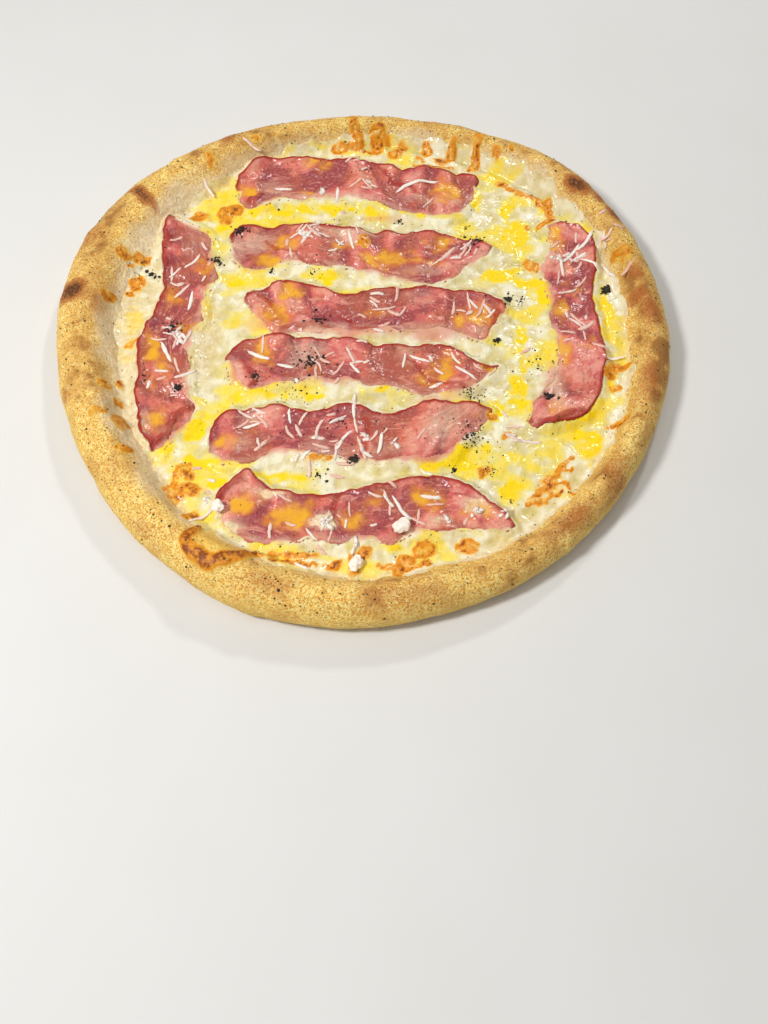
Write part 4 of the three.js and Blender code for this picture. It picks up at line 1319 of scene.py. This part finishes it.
def build_stage(look):
    """A plain floor, three lamps, a dim sky and the camera."""
    bm = bmesh.new()
    bmesh.ops.create_grid(bm, x_segments=1, y_segments=1, size=4)
    floor = new_piece("pale_floor", to_mesh(bm, "pale_floor"))
    floor.data.materials.append(floor_material(look))

    data = bpy.data.cameras.new("camera")
    data.lens = look.lens
    data.sensor_width = 36
    data.clip_start = 0.01
    camera = new_piece("camera", data)
    camera.location = look.camera_place
    camera.rotation_euler = (look.camera_pitch, 0, 0)
    scene = bpy.context.scene
    scene.camera = camera

    area_light("key_lamp", (-0.6, -0.28, 0.93), 0.2, 8.6)
    area_light("far_lamp", (0.4, 0.85, 0.85), 0.12, 3.9)
    area_light("overhead_fill", (-0.1, -0.3, 1.3), 1.2, 2.6)
    scene.world = bpy.data.worlds.new("studio")
    scene.world.use_nodes = True
    sky = scene.world.node_tree.nodes["Background"]
    sky.inputs["Color"].default_value = (1, 0.98, 0.95, 1)
    sky.inputs["Strength"].default_value = 0.28
    scene.view_settings.view_transform = "Standard"


# ------------------------------------------------------------------ the add-on

built = {}  # what one step leaves for the next


class PIZZA_OT_stage(bpy.types.Operator):
    """Adds the floor, the lights and the camera"""

    bl_idname = "pizza.add_stage"
    bl_label = "Stage"

    def execute(self, context):
        build_stage(context.scene.pizza_stage)
        return {"FINISHED"}


class PIZZA_OT_crust(bpy.types.Operator):
    """Builds the baked crust"""

    bl_idname = "pizza.add_crust"
    bl_label = "Crust"

    def execute(self, context):
        built["rim"] = build_crust(context.scene.pizza_crust)
        return {"FINISHED"}


class PIZZA_OT_bacon(bpy.types.Operator):
    """Builds the bacon slices"""

    bl_idname = "pizza.add_bacon"
    bl_label = "Bacon"

    def execute(self, context):
        look = context.scene.pizza_bacon
        material = bacon_material(look)
        made = [build_slice(node, look, material) for node in ROWS + SIDES]
        built["slices"] = [mesh for mesh, _ in made]
        built["edges"] = np.concatenate([edge_points for _, edge_points in made])
        return {"FINISHED"}


class PIZZA_OT_cheese(bpy.types.Operator):
    """Builds the melted cheese between the crust and the slices"""

    bl_idname = "pizza.add_cheese"
    bl_label = "Cheese"

    def execute(self, context):
        crust = bpy.data.objects["baked_crust"].data
        look = context.scene.pizza_cheese
        cheese = build_cheese(look, built["rim"], crust, built["slices"], built["edges"])
        built["ground"] = tree_of(crust, cheese, *built["slices"])
        return {"FINISHED"}


class PIZZA_OT_toppings(bpy.types.Operator):
    """Scatters the grated cheese, the pepper and the herb flecks"""

    bl_idname = "pizza.add_toppings"
    bl_label = "Fine toppings"

    def execute(self, context):
        look = context.scene.pizza_toppings
        build_grated(look, built["ground"])
        build_pepper(look, built["ground"])
        build_herbs(look, built["ground"], built["rim"])
        return {"FINISHED"}


class PIZZA_PT_panel(bpy.types.Panel):
    """The pizza's pieces, in the order in which they are built"""

    bl_label = "Pizza carbonara"
    bl_idname = "PIZZA_PT_panel"
    bl_space_type = "VIEW_3D"
    bl_region_type = "UI"
    bl_category = "Pizza"

    def draw(self, context):
        for operator in OPERATORS:
            self.layout.operator(operator.bl_idname)
        for group in SETTINGS:
            box = self.layout.box()
            settings = getattr(context.scene, group)
            for name in settings.__annotations__:
                box.prop(settings, name)


OPERATORS = [PIZZA_OT_stage, PIZZA_OT_crust, PIZZA_OT_bacon, PIZZA_OT_cheese, PIZZA_OT_toppings]
SETTINGS = {
    "pizza_stage": StageSettings,
    "pizza_crust": CrustSettings,
    "pizza_bacon": BaconSettings,
    "pizza_cheese": CheeseSettings,
    "pizza_toppings": ToppingSettings,
}


def register():
    for settings in SETTINGS.values():
        bpy.utils.register_class(settings)
    for cls in [*OPERATORS, PIZZA_PT_panel]:
        bpy.utils.register_class(cls)
    for name, settings in SETTINGS.items():
        setattr(bpy.types.Scene, name, PointerProperty(type=settings))


def unregister():
    for name in SETTINGS:
        delattr(bpy.types.Scene, name)
    for cls in [PIZZA_PT_panel, *OPERATORS, *SETTINGS.values()]:
        bpy.utils.unregister_class(cls)


def main():
    register()
    bpy.ops.pizza.add_stage()
    bpy.ops.pizza.add_crust()
    bpy.ops.pizza.add_bacon()
    bpy.ops.pizza.add_cheese()
    bpy.ops.pizza.add_toppings()
    bpy.context.view_layer.update()


if __name__ == "__main__":
    main()
